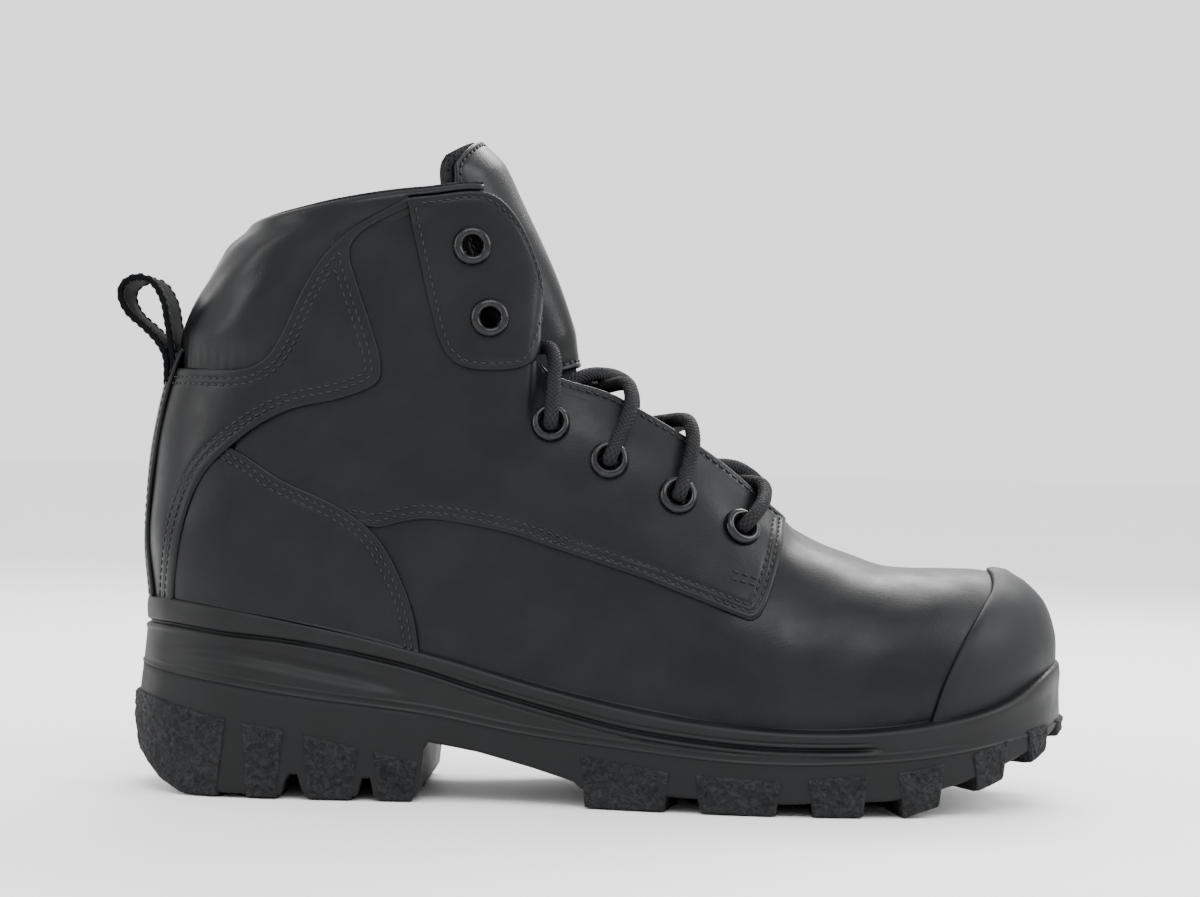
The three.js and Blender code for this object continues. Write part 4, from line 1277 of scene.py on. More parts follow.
def fabric_material(name, dark, light, scale, depth):
    """A spacer knit: rows of small round openings between ribs of yarn, with painted shade that darkens
    the openings.
    """
    material, tree, shader, where = start_material(
        name, roughness=0.92, specular_ior_level=0.12, sheen_weight=0.04, sheen_roughness=0.5)
    cells = add_node(tree, "ShaderNodeTexVoronoi", feature="DISTANCE_TO_EDGE", randomness=0.25)
    cells.inputs["Scale"].default_value = scale
    link(tree, where, cells.inputs["Vector"])
    knit = tree.nodes.new("ShaderNodeMapRange")
    knit.inputs["From Max"].default_value = 0.32
    link(tree, cells.outputs["Distance"], knit.inputs["Value"])
    # Painted shade: the openings between the ribs are coloured darker, as shade in them.
    colours(tree, knit.outputs["Result"], light, dark, shader.inputs["Base Color"])
    raised = math_node(tree, "SUBTRACT", 1.0, knit.outputs["Result"])
    bump(tree, raised, depth, shader, 0.9)
    return material


lining_fabric = fabric_material("knitted_lining", (0.006, 0.006, 0.007), (0.02, 0.021, 0.023), 620.0,
                                0.00035)
woven_fabric = fabric_material("woven_gusset", (0.004, 0.005, 0.007), (0.02, 0.023, 0.028), 760.0,
                               0.0004)

# %% Collar pad and its binding
collar_leather = leather_material("collar_leather", grain=1000.0, low=0.3, high=0.42)
pad = make_object("collar_pad", collar_sheet((10.2, LAST_RIB, 2.7, LAST_ROW + 0.42), 0.0),
                  collar_leather)
solid(pad, 0.9)
settle(pad, "boot", "leather", "collar_cover", "collar_foam")
binding = make_object(
    "collar_lining", collar_sheet((10.2, LAST_RIB, LAST_ROW + 0.3, LAST_ROW + 2.6), 0.45),
    lining_fabric)
solid(binding, 0.9)
settle(binding, "boot", "textile")

# %% [markdown]
# ## Linings inside the boot
# Inside the stiffeners lies a fabric lining. It follows the same last, a few millimetres in,
# and comes closer to the leather along the facings, where there is no stiffener between them.

# %% Shaft and vamp linings
LINING_DEPTH = 4.4
FACING_DEPTH = 2.0


def lining_height(u, v, f):
    near_facing = smooth_step((v - 3.4) / 1.2) * smooth_step((u - 4.4) / 0.8) \
        * (1 - smooth_step((u - 10.6) / 0.6))
    return -LINING_DEPTH + (LINING_DEPTH - FACING_DEPTH) * near_facing


def lining_piece(name, window, trims, replaced, fold_top):
    edge = both(lambda u, v: below_top(u, v) - fold_top, outside(PATCH, 0.5))
    bm = cut_sheet(window, edge, trims, fine=0.6)
    bend(bm, lining_height, uneven=0.6)
    bm = merge(joined([bm, other_side(bm)]), 1e-3)
    obj = solid(make_object(name, bm, lining_fabric), 0.9)
    return settle(obj, "boot", "textile", replaced)


LINING_SPLIT = 7.3
lining_piece("front_lining", (0, LINING_SPLIT, -0.4, LAST_ROW), (punched(3, 4, 5),),
             "vamp_lining", 1.0)
lining_piece("rear_lining", (LINING_SPLIT - 0.1, LAST_RIB, -0.4, LAST_ROW), (punched(2),),
             "shaft_lining", 1.5)

# %% [markdown]
# ## Backstay strap and pull loop
# One strip of leather covers the rear seam, stands up from it as a loop, and comes back down into the
# same stitching. The strap is a panel like the others. The loop is a band along a side view line, with
# its transform baked into its mesh; it is not blended over the hinge where it leaves the seam.

# %% Strap
STRAP_HALF = 13
STRAP_TOP = 142


def strap_edge(u, v):
    """How far inside the strap's outline a place on the skin lies."""
    points = off_skin(u, v, 0)
    return np.minimum(STRAP_HALF - points[:, 1], STRAP_TOP + 1 - points[:, 2])


STRAP_SPEC = {
    "window": (12.4, LAST_RIB, -0.6, 3.6),
    "edge": strap_edge,
    "rows": (2.0,), "lift": 4.3, "shape": {"thickness": 1.6},
}
make_panels("backstay", STRAP_SPEC, leather, whole=True, replaced=("backstay_strap",))

# %% Loop
LOOP_LINE = [(12.8, 133), (12.5, 140), (11.7, 146), (10.4, 153), (8.9, 160), (5.4, 165.8),
             (0.5, 167.6), (-4.0, 165.6), (-5.3, 161.4), (-2.7, 155.9), (2.9, 151), (7.4, 146.4),
             (10.2, 141), (10.7, 133)]
LOOP_THICKNESS = 1.7


def band(line, half_width, columns):
    """A strip of leather along a side-view line."""
    points = side_line(line, 10)
    bm = flat_grid(len(points) - 1, columns)
    flat = coords(bm)
    index = np.rint(flat[:, 0] * (len(points) - 1)).astype(int)
    y = (flat[:, 1] - 0.5) * 2 * half_width
    spot = points[index]
    set_coords(bm, np.column_stack([spot[:, 0], y, spot[:, 1]]))
    return bm, points


loop_sheet, loop_points = band(LOOP_LINE, STRAP_HALF, 26)
bmesh.ops.recalc_face_normals(loop_sheet, faces=loop_sheet.faces)
suede = leather_material("loop_suede", grain=900.0, depth=0.00012, low=0.8, high=0.95)
suede.node_tree.nodes["Principled BSDF"].inputs["Specular IOR Level"].default_value = 0.03
pull_loop = solid(make_object("pull_loop_strap", loop_sheet, suede), LOOP_THICKNESS, 0)
round_edges = pull_loop.modifiers.new("soft edges", "BEVEL")
round_edges.width = 0.0005
round_edges.segments = 3
round_edges.limit_method = "ANGLE"
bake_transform(pull_loop)
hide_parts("pull_loop")


def loop_stitches():
    points = evenly(np.column_stack([loop_points[:, 0], 0 * loop_points[:, 0], loop_points[:, 1]]),
                    STITCH_PITCH)
    along = np.gradient(points, axis=0)
    normals = np.column_stack([-along[:, 2], 0 * along[:, 0], along[:, 0]])
    normals /= np.linalg.norm(normals, axis=1)[:, None]
    places = []
    for side in (-1, 1):
        for face in (-1, 1):
            for point, direction, normal in zip(points, along, normals):
                middle = point + normal * face * LOOP_THICKNESS / 2 * 0.98
                places.append((middle + np.array([0, side * (STRAP_HALF - 2), 0]), direction,
                               normal * face, side))
    return places


loop_thread = stitches("pull_loop_stitches", loop_stitches(), None)
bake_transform(loop_thread)

# %% [markdown]
# ## Eyelets
# An eyelet is a thin tube whose mouth is rolled back over the leather. Its section is drawn once and
# spun round the axis. The hole's wall goes right through the facing.

# %% Lacquered eyelets
EYELET_SECTION = [(3.25, -3.9), (3.2, -1.5), (3.2, 0.6), (3.35, 1.35), (3.8, 1.95), (4.5, 2.2),
                  (5.3, 2.05), (5.95, 1.5), (6.3, 0.75), (6.35, 0.15), (5.9, 0.25), (5.4, 0.9),
                  (4.6, 1.3), (4.05, 1.0), (3.85, 0.2), (3.85, -3.9)]
EYELET_LIFT = (2.9, 2.75, 1.3, 1.3, 1.3, 1.3)


def metal_material():
    material, tree, shader, where = start_material(
        "lacquered_metal", metallic=0.25, roughness=0.24, specular_ior_level=0.35)
    wear = placed_group(tree, MOTTLE, where, scale=420.0, low=0.45, high=0.75)
    colours(tree, wear, (0.003, 0.0032, 0.0038), (0.012, 0.0127, 0.0145), shader.inputs["Base Color"])
    spread(tree, wear, 0.18, 0.32, shader.inputs["Roughness"])
    bump(tree, wear, 0.00002, shader, 0.5)
    return material


black_metal = metal_material()


def eyelet(index, side):
    bm = bmesh.new()
    ring = [bm.verts.new((r, 0, z)) for r, z in EYELET_SECTION]
    edges = [bm.edges.new(pair) for pair in zip(ring, ring[1:] + ring[:1])]
    bmesh.ops.spin(bm, geom=ring + edges, cent=(0, 0, 0), axis=(0, 0, 1), angle=2 * math.pi,
                   steps=40, use_merge=True)
    merge(bm)
    bmesh.ops.recalc_face_normals(bm, faces=bm.faces)
    flip = np.array([1, side, 1])
    normal = Vector(EYELET_NORMALS[index] * flip)
    place = Vector(EYELET_POINTS[index] * flip) + normal * EYELET_LIFT[index]
    turn = normal.to_track_quat("Z", "Y").to_matrix()
    bmesh.ops.rotate(bm, cent=(0, 0, 0), matrix=turn, verts=bm.verts)
    bmesh.ops.translate(bm, verts=bm.verts, vec=place)
    return bm


for side_name, side in SIDES.items():
    for index in (0, 1):
        ring = make_object(f"eyelet_ring_{side_name}_{index + 1}", eyelet(index, side), black_metal)
        settle(ring, f"flap_{side_name}", "black_metal", f"eyelet_{side_name}_{index + 1}")
    lower = make_object(f"eyelet_rings_{side_name}_lower",
                        joined([eyelet(index, side) for index in (2, 3, 4, 5)]), black_metal)
    settle(lower, "boot", "black_metal", *[f"eyelet_{side_name}_{k}" for k in (3, 4, 5, 6)])

# %% [markdown]
# ## Tongue
# The tongue is a long padded flap of fabric, sewn in at the throat, with a leather cover over its
# upper part. Its middle line and its width come from the design. The pad is a closed tube with a
# flat oval section; the cover is a cut sheet on its face, like the other panels.

# %% The tongue's surface
TONGUE = np.array([
    (206, 86, 15, 7), (195, 95, 17, 11), (180, 105, 17, 14), (165, 115, 17, 17),
    (153, 127, 16.5, 21), (147, 141, 16, 25), (142, 156.6, 17.5, 28), (137, 170, 20.5, 29),
    (131.5, 182, 24, 27), (125, 195, 26.5, 24), (119, 207, 27, 18), (112, 216, 26, 11)], float)
TONGUE_HINGE = 5
TONGUE_END = len(TONGUE) - 1


def tongue_middle(s):
    padded = np.vstack([TONGUE[:1], TONGUE, TONGUE[-1:]])
    under_vamp = np.minimum(s, 0)[:, None] * (TONGUE[1] - TONGUE[0])
    s = np.clip(s, 0, TONGUE_END)
    i = np.minimum(s.astype(int), TONGUE_END - 1)
    return catmull(*[padded[i + k] for k in range(4)], (s - i)[:, None]) + under_vamp


def tongue_surface(s, t, depth):
    """A point on the tongue: s along it, t across from -1 to 1, and a depth behind its face."""
    x, z, width, fall = tongue_middle(s).T
    ahead, behind = tongue_middle(s + 0.2), tongue_middle(s - 0.2)
    run = np.hypot(ahead[:, 0] - behind[:, 0], ahead[:, 1] - behind[:, 1])
    out_x = (ahead[:, 1] - behind[:, 1]) / run
    out_z = -(ahead[:, 0] - behind[:, 0]) / run
    back = fall * t * t
    slope = 2 * fall * t / width
    lean = 1 / np.sqrt(1 + slope**2)
    points = np.column_stack([x - back * out_x, width * t, z - back * out_z])
    normal = np.column_stack([out_x * lean, slope * lean, out_z * lean])
    return points - normal * np.reshape(depth, (-1, 1))


# %% Tongue pad
TONGUE_THICK = 8.2
TONGUE_SKIN = 1.6
TONGUE_FOOT = -0.9


def tongue_pad():
    bm = flat_grid(150, 56)
    flat = coords(bm)
    s = TONGUE_FOOT + flat[:, 0] * (TONGUE_END - TONGUE_FOOT)
    angle = 2 * math.pi * flat[:, 1]
    t = np.sign(np.cos(angle)) * np.abs(np.cos(angle)) ** 0.55
    end = np.clip((TONGUE_END - s) / 0.5, 0, 1)
    foot = np.clip((s - TONGUE_FOOT) / 1.2, 0, 1)
    thick = TONGUE_THICK * np.sqrt(1 - (1 - end) ** 2) * (0.35 + 0.65 * foot)
    depth = TONGUE_SKIN + thick / 2 * (1 - np.sign(np.sin(angle)) * np.abs(np.sin(angle)) ** 0.6)
    quilt = 0.35 * np.sin(s * 9) * np.sin(math.pi * np.abs(t)) * (depth > TONGUE_THICK / 2)
    set_coords(bm, tongue_surface(s, t, depth + quilt))
    merge(bm, 0.02)
    bmesh.ops.holes_fill(bm, edges=[e for e in bm.edges if e.is_boundary], sides=0)
    bmesh.ops.recalc_face_normals(bm, faces=bm.faces)
    return bm


def over_tongue_hinge(obj):
    start, end = [tongue_surface(np.array([s]), np.array([0.0]), 3)[0] for s in (4.2, 5.8)]
    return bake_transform(obj, "boot", "tongue", start=frame_point(*start), end=frame_point(*end))


pad_piece = make_object("tongue_pad", tongue_pad(), lining_fabric)
over_tongue_hinge(pad_piece)
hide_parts("tongue_foam", "tongue_lining", "tongue_base")

# %% Tongue cover
COVER_FROM = 5.0
COVER_MARGIN = 2.6


def cover_edge(u, v):
    """Distance from the cover's cut edge: u runs along the tongue, v across it."""
    t = 2 * v - 1
    width = tongue_middle(u)[:, 2]
    side_gap = width * (1 - np.abs(t)) * 1.3 - COVER_MARGIN
    top_gap = (TONGUE_END - 0.12 - u) * 11.4 - 4 * np.abs(t) ** 3
    low_gap = (u - COVER_FROM) * 14.5
    return np.minimum(np.minimum(side_gap, top_gap), low_gap)


def tongue_cover():
    rows = (2.0,)
    bm = cut_sheet((4.6, TONGUE_END, 0, 1), cover_edge, rows=rows)
    chains = level_lines(bm, rows)
    flat = coords(bm)
    s, v, f = flat.T

    def height(f):
        puff = 1.3 * smooth_step((f - 2) / 9)
        h = 0.45 + puff - rounded_edge(f)
        h = h - STITCH_SINK * 1.3 * np.exp(-((f - 2.0) / 0.7) ** 2)
        return np.where(f < 0, -TONGUE_SKIN - 0.6, h)

    set_coords(bm, tongue_surface(s, 2 * v - 1, -height(f)))
    merge(bm, 0.05)
    bmesh.ops.recalc_face_normals(bm, faces=bm.faces)
    places = []
    for chain in chains:
        cs, cv, cf = np.array(chain).T
        points = tongue_surface(cs, 2 * cv - 1, -height(cf))
        outer = tongue_surface(cs, 2 * cv - 1, -height(cf) - 1.0) - points
        lengths = np.concatenate([[0], np.cumsum(np.linalg.norm(np.diff(points, axis=0), axis=1))])
        marks = np.arange(STITCH_PITCH / 2, lengths[-1], STITCH_PITCH)
        take = lambda values, at: np.column_stack([np.interp(at, lengths, values[:, k])
                                                   for k in range(3)])
        ahead = take(points, marks + 0.8) - take(points, marks - 0.8)
        places += [(m, d, n, 1) for m, d, n in zip(take(points, marks), ahead, take(outer, marks))]
    return bm, places


cover_sheet, cover_places = tongue_cover()
cover = solid(make_object("tongue_cover_leather", cover_sheet, collar_leather), 0.8)
over_tongue_hinge(cover)
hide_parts("tongue_cover")
cover_thread = stitches("tongue_stitches", cover_places, None)
over_tongue_hinge(cover_thread)

# %% Gussets
GUSSET_DROP = 6
GUSSET_GAP = 0.8


def gusset(side):
    """Fabric that joins the tongue's wing to the boot's wall, with a soft fold between them."""
    bm = flat_grid(40, 10)
    flat = coords(bm)
    s = 0.5 + flat[:, 0] * (TONGUE_HINGE - 0.9)
    marks = np.linspace(0.5, TONGUE_HINGE - 0.4, 14)
    wings = tongue_surface(marks, np.ones(14), 3)
    walls = []
    for wing in wings:
        u, v = locate(wing[0], wing[2] - GUSSET_DROP)
        walls.append(off_skin(np.array([u]), np.array([v]), -LINING_DEPTH - 1.3 - GUSSET_GAP)[0])
    walls = np.array(walls)
    near = np.column_stack([np.interp(s, marks, wings[:, k]) for k in range(3)])
    far = np.column_stack([np.interp(s, marks, walls[:, k]) for k in range(3)])
    near[:, 1] += GUSSET_GAP - 2
    t = flat[:, 1][:, None]
    points = near * (1 - t) + far * t
    points[:, 2] -= 2.2 * np.sin(math.pi * flat[:, 1])
    points[:, 1] *= side
    set_coords(bm, points)
    return bm


for side_name, side in SIDES.items():
    cut = gusset(side)
    across_cut, along_cut = coords(cut).reshape(11, 41, 3)[:, 20], coords(cut).reshape(11, 41, 3)[5]
    width = np.linalg.norm(np.diff(across_cut, axis=0), axis=1).sum() * MM
    length = np.linalg.norm(np.diff(along_cut, axis=0), axis=1).sum() * MM
    area = sum(face.calc_area() for face in cut.faces) * MM * MM
    piece = make_object(f"gusset_fabric_{side_name}", cut, woven_fabric)
    settle(solid(piece, 0.8, 0), "boot", "textile", f"gusset_{side_name}")
    print("gusset cut", round(width, 4), "x", round(length, 4), "m, area", round(area, 6), "m2")
# %% [markdown]
# ## The sole
# Two rubber mouldings: a midsole that grips the leather in a raised rim, and an outsole with
# deep lugs. Both follow one plan, so each wall is a grid that is wrapped round the plan: a column
# for each station, a row for each height, and how far a point stands out from the plan as its
# third number. Grooves, beads and ribs are small changes in that number.

# %% Plan of the sole
SOLE_PLAN = [(1, 0), (3, 12), (12, 27), (28, 37.5), (50, 41), (80, 41), (110, 40.5), (140, 43.5),
             (170, 50), (200, 55.5), (228, 57), (255, 54.5), (280, 46.5), (297, 34), (307, 17),
             (310, 0)]
STATION_STEP = 1.3


def sole_stations():
    """Half the plan, from the heel to the toe, with the outward direction at each station."""
    half = np.array(SOLE_PLAN, float)
    mirrored = half * [1, -1]
    loop = np.vstack([mirrored[2:0:-1], half, mirrored[-2:-4:-1]])
    line = side_line(loop, 24)[2 * 24:-2 * 24]
    line = evenly(np.column_stack([line, np.zeros(len(line))]), STATION_STEP)[:, :2]
    line[0, 1] = line[-1, 1] = 0
    along = np.gradient(line, axis=0)
    out = np.column_stack([-along[:, 1], along[:, 0]])
    out /= np.linalg.norm(out, axis=1)[:, None]
    out[0], out[-1] = (-1, 0), (1, 0)
    return line, out


PLAN, PLAN_OUT = sole_stations()
STATIONS = len(PLAN)
print("the sole's plan has", STATIONS, "stations on each side")


def height_line(points):
    line = side_line(points, 6)
    return lambda x: np.interp(x, line[:, 0], line[:, 1])


def straight_line(points):
    points = np.array(points, float)
    return lambda x: np.interp(x, points[:, 0], points[:, 1])


rim_z = height_line([(-8, 63), (20, 62), (60, 56.3), (100, 47.5), (140, 37), (180, 29.3),
                     (220, 26.2), (255, 28), (285, 34.5), (305, 44.5), (318, 51)])
parting_z = height_line([(-8, 42), (28, 37), (60, 32.5), (100, 28), (131, 22.6), (160, 19.5),
                         (200, 16.2), (235, 16.5), (270, 19.7), (318, 29)])
bead_z = height_line([(-8, 53.5), (12, 54.2), (35, 52), (61, 49.5), (93, 43.5), (118.6, 36.2),
                      (144, 29.8), (170, 24.6), (208, 21.1), (247, 21.6), (270, 25), (290, 31),
                      (318, 40)])
hollow_z = height_line([(-8, 47.5), (29, 46.3), (48, 44.6), (67, 41), (95, 35.5),
                        (125, 28.5), (160, 24), (235, 21), (318, 30)])
rib_z = height_line([(-8, 44.5), (16, 44.6), (45, 40.6), (74, 36), (95, 32.2),
                     (125, 26), (160, 22), (235, 19), (318, 29)])
base_z = straight_line([(1, 24), (5, 14), (14, 6), (22, 2.2), (37, 1.3), (55.8, 1.3), (57, 7.8),
                        (61, 7.8),
                        (62.2, 1.3), (79.8, 1.3), (81, 7), (84, 7), (85, 1.4), (99.2, 1.4), (101, 19.2),
                        (118, 16.3), (135, 12), (149, 8), (151, 5.8), (183, 4.7), (215, 3.7),
                        (248, 5.2), (254, 5.8), (271, 10.2), (282, 13.8), (298, 20.5), (311, 27.5)])
ground_z = straight_line([(1, 22), (5, 12), (14, 4), (22, 0), (99, 0), (101, 1.5), (149, 8),
                          (151, 0), (254, 0), (268, 4.2), (282, 9.5), (298, 16.5), (311, 25)])


def fades(x, *marks):
    """1 between the two middle marks, and down to 0 at the outer two."""
    a, b, c, d = marks
    return smooth_step((x - a) / (b - a)) * (1 - smooth_step((x - c) / (d - c)))


def ridge(z, middle, width):
    return np.exp(-((z - middle) / width) ** 2)


def wall_stand(x, z):
    """How far the sole's wall stands out from the plan at a height."""
    heel = 1 - smooth_step((x - 40) / 90)
    lean = -0.75 - 0.035 * (z - 16) - 1.5 * heel * smooth_step((z - 20) / 34)
    bead = bead_z(x)
    shown = fades(x, -40, -30, 236, 250)
    front = fades(x, 95, 125, 236, 250)
    stand = lean
    stand = stand - 1.35 * shown * ridge(z, bead, 0.6) + 0.4 * shown * ridge(z, bead - 1.5, 0.7)
    stand = stand - 0.55 * front * ridge(z, bead + 1.9, 0.42)
    stand = stand - 0.5 * front * ridge(z, bead - 2.3, 0.42)
    swell = fades(x, 6, 30, 74, 104)
    stand = stand - 1.25 * swell * ridge(z, hollow_z(x), 1.9)
    stand = stand + 0.75 * swell * ridge(z, rib_z(x), 2.0)
    part = parting_z(x)
    stand = stand + 0.5 * ridge(z, part + 0.35, 0.42)
    stand = stand + 0.42 * ridge(z, part + 2.6, 0.42) * fades(x, 4, 18, 262, 280)
    return stand + 0.45 * ridge(z, (bead + rim_z(x)) / 2 + 0.8, 3.2)


# %% Wrapping a section round the plan


def wrapped(bm, place):
    """Turns a unit grid into a wall: place gives x, y and z for each station and each row."""
    flat = coords(bm)
    station = np.rint(flat[:, 0] * (STATIONS - 1)).astype(int)
    set_coords(bm, place(station, flat[:, 1]))
    return bm


def plan_points(station, stand, z):
    points = np.column_stack([PLAN[station] + PLAN_OUT[station] * np.reshape(stand, (-1, 1)), z])
    points[(station == 0) | (station == STATIONS - 1), 1] = 0
    return points


def both_sides(bm):
    whole = merge(joined([bm, other_side(bm)]), 1e-3)
    bmesh.ops.recalc_face_normals(whole, faces=whole.faces)
    return whole


# %% Midsole
SKIN_PLAN = skin(np.linspace(0, LAST_RIB, 900), np.zeros(900))[:, :2]
GRIP = [np.argmin(np.linalg.norm(SKIN_PLAN - spot, axis=1)) for spot in PLAN]
GRIP_PLAN = np.column_stack([SKIN_PLAN[GRIP][:, 0], np.abs(SKIN_PLAN[GRIP][:, 1])])
GRIP_PLAN[[0, -1], 1] = 0
RIM_RADIUS = 1.7


def midsole_levels():
    """Heights of the wall's rows at every station, from the parting line up to the rim."""
    x = PLAN[:, 0]
    part, rim = parting_z(x), rim_z(x)
    low = part + 3.6
    bead_low = np.clip(bead_z(x) - 3.2, low + 0.3, rim - 3.4)
    bead_high = np.clip(bead_z(x) + 2.8, bead_low + 0.3, rim - RIM_RADIUS - 0.3)
    spans = [(part, low, 12), (low, bead_low, 12), (bead_low, bead_high, 17),
             (bead_high, rim - RIM_RADIUS, 5)]
    rows = [a + (b - a) * k / n for a, b, n in spans for k in range(n)]
    return np.array(rows + [rim - RIM_RADIUS])


LEVELS = midsole_levels()
LIP_TURNS = 5
LIP_STEPS = 3


def midsole_place(station, row):
    x = PLAN[station, 0]
    index = np.rint(row * MIDSOLE_ROWS).astype(int)
    wall_rows = len(LEVELS) - 1
    z = LEVELS[np.clip(index, 0, wall_rows), station]
    points = plan_points(station, wall_stand(x, z), z)
    turn = np.clip((index - wall_rows) / LIP_TURNS, 0, 1) * math.pi / 2
    stand = wall_stand(x, z) - RIM_RADIUS * (1 - np.cos(turn))
    lip = plan_points(station, stand, z + RIM_RADIUS * np.sin(turn))
    points[index > wall_rows] = lip[index > wall_rows]
    inwards = np.clip((index - wall_rows - LIP_TURNS) / LIP_STEPS, 0, 1)[:, None]
    grip = np.column_stack([GRIP_PLAN[station], rim_z(x) + 0.5])
    inner = lip * (1 - inwards) + grip * inwards
    past = index > wall_rows + LIP_TURNS
    points[past] = inner[past]
    under = index == MIDSOLE_ROWS - 1
    points[under] = np.column_stack([GRIP_PLAN[station], parting_z(x) + 0.5])[under]
    last = index == MIDSOLE_ROWS
    z = LEVELS[0, station]
    points[last] = plan_points(station, wall_stand(x, z), z)[last]
    return points


MIDSOLE_ROWS = len(LEVELS) - 1 + LIP_TURNS + LIP_STEPS + 2
midsole = make_object("midsole_moulding",
                      both_sides(wrapped(flat_grid(STATIONS - 1, MIDSOLE_ROWS), midsole_place)),
                      midsole_rubber)
settle(midsole, "boot", "midsole_rubber", "midsole")

# %% [markdown]
# ## Outsole and lugs
# The outsole is one closed moulding: its wall runs from the parting line down to the floor of
# the tread. Each lug is a subdivided block, bent round the plan and sunk into that moulding. Its
# outer face stands a little proud and has the rough texture that such moulds are etched with.

# %% Outsole
WALL_ROWS = 14
EDGE_TURNS = 4
EDGE_ROUND = 1.2
CAP_ROWS = 9
OUTSOLE_ROWS = WALL_ROWS + EDGE_TURNS + CAP_ROWS


def outsole_place(station, row):
    x = PLAN[station, 0]
    index = np.rint(row * OUTSOLE_ROWS).astype(int)
    top, base = parting_z(x), base_z(x)
    down = np.clip(index / WALL_ROWS, 0, 1)
    z = top + (base + EDGE_ROUND - top) * down
    points = plan_points(station, wall_stand(x, z), z)
    turn = np.clip((index - WALL_ROWS) / EDGE_TURNS, 0, 1) * math.pi / 2
    stand = wall_stand(x, base) - EDGE_ROUND * (1 - np.cos(turn))
    edge = plan_points(station, stand, base + EDGE_ROUND * (1 - np.sin(turn)))
    points[index > WALL_ROWS] = edge[index > WALL_ROWS]
    inwards = np.clip((index - WALL_ROWS - EDGE_TURNS) / CAP_ROWS, 0, 1)
    past = index > WALL_ROWS + EDGE_TURNS
    points[past] = edge[past] * np.column_stack([np.ones(len(x)), 1 - inwards, np.ones(len(x))])[past]
    return points


def cap_place(station, row):
    x = PLAN[station, 0]
    top = parting_z(x)
    points = plan_points(station, wall_stand(x, top), top)
    points[:, 1] *= 1 - row
    return points


outsole_half = joined([wrapped(flat_grid(STATIONS - 1, OUTSOLE_ROWS), outsole_place),
                       wrapped(flat_grid(STATIONS - 1, 4), cap_place)])
outsole = make_object("outsole_moulding", both_sides(merge(outsole_half, 1e-3)), tread_rubber)
settle(outsole, "boot", "outsole_rubber", "outsole")

# %% Lugs
LUG_DEPTH = 21
LUG_TOP_PROUD = 0.95
LUG_ROUND = 1.5
LUG_TAPER = 2.0
ARC = np.concatenate([[0], np.cumsum(np.linalg.norm(np.diff(PLAN, axis=0), axis=1))])
HEEL_LUGS = [(None, 36.6), (42.1, 55.9), (61.9, 80), (84.6, 99.2)]
FORE_LUGS = [(150.6, 179.4), (187, 214.6), (222.4, 242), (251, 266.4), (275.4, 287.5),
             (294.5, 302.5), (306.4, 310.5)]
lug_top_z = straight_line([(0, 31.5), (10.6, 30.2), (36.5, 24.9), (55, 22.3), (79, 17.2), (99, 12.8),
                           (101, 17.4), (148.7, 17.2), (178.9, 12.8), (214.6, 11), (224, 12.2),
                           (250.7, 14.2), (266.8, 17.4), (285.4, 23), (293, 26), (311, 29)])


def arc_at(x):
    return np.interp(x, PLAN[:, 0], ARC)


def block(cuts):
    bm = bmesh.new()
    bmesh.ops.create_cube(bm, size=1)
    bmesh.ops.translate(bm, verts=bm.verts, vec=(0.5, 0.5, 0.5))
    bmesh.ops.subdivide_edges(bm, edges=bm.edges, cuts=cuts, use_grid_fill=True)
    return bm


def crowd(t):
    """Moves rows towards both ends, where the edges are rounded."""
    return t + (0.5 - 0.5 * np.cos(math.pi * t) - t) * 0.75


def rounded(distance, radius):
    d = np.clip(distance, 0, radius)
    return radius - np.sqrt(radius**2 - (radius - d) ** 2)


def lug(start, end, wrap=False):
    """A block bent round the plan between two stations, with a rough outer face."""
    bm = block(62 if wrap else 30)
    p, q, r = coords(bm).T
    p, r, q = crowd(p), crowd(r), q**1.7
    a, b = (0, arc_at(end)) if wrap else (arc_at(start), arc_at(end))
    at_toe = b > ARC[-1] - 0.1
    low_a = 0 if wrap else a + LUG_TAPER
    low_b = b if at_toe else b - LUG_TAPER
    near, far = low_a + (a - low_a) * r, low_b + (b - low_b) * r
    arc = near + (far - near) * p
    spot = np.column_stack([np.interp(arc, ARC, PLAN[:, k]) for k in (0, 1)])
    out = np.column_stack([np.interp(arc, ARC, PLAN_OUT[:, k]) for k in (0, 1)])
    out /= np.linalg.norm(out, axis=1)[:, None]
    x = spot[:, 0]
    side_gap = np.minimum(np.where(wrap, 99, arc - near), np.where(at_toe, 99, far - arc))
    ground, top = ground_z(x), lug_top_z(x)
    z = ground + (top - ground) * r
    stand = wall_stand(x, z) * 0.35 + LUG_TOP_PROUD - 0.75
    stand = stand - rounded(side_gap, LUG_ROUND * 0.6) - rounded(top - z, 1.0) \
        - rounded(z - ground, LUG_ROUND)
    rough = np.array([noise.noise(Vector((sx * 0.6, sy * 0.6, sz * 0.6)))
                      + 0.6 * noise.noise(Vector((sx * 1.2, sy * 1.2, sz * 1.2)))
                      for sx, sy, sz in zip(spot[:, 0], spot[:, 1], z)])
    inside = smooth_step(side_gap / 1.6) * smooth_step((z - ground) / 1.8) \
        * smooth_step((top - z) / 1.2)
    stand = stand + 0.62 * rough * inside * (1 - np.clip(q * 6, 0, 1))
    depth = np.minimum(LUG_DEPTH, np.abs(spot[:, 1]) / np.maximum(np.abs(out[:, 1]), 0.3) + 7)
    lift = rounded(np.minimum(q * depth, depth * (1 - q)) + 0.35, LUG_ROUND) * (r < 0.02)
    reach = stand - depth * q
    points = np.column_stack([spot + out * reach[:, None], z + lift * 0.7])
    points[:, 1] = np.maximum(points[:, 1], 0) if not wrap else points[:, 1]
    if wrap:
        points[p < 1e-6, 1] = 0
    if at_toe:
        points[p > 1 - 1e-6, 1] = 0
    set_coords(bm, points)
    return bm


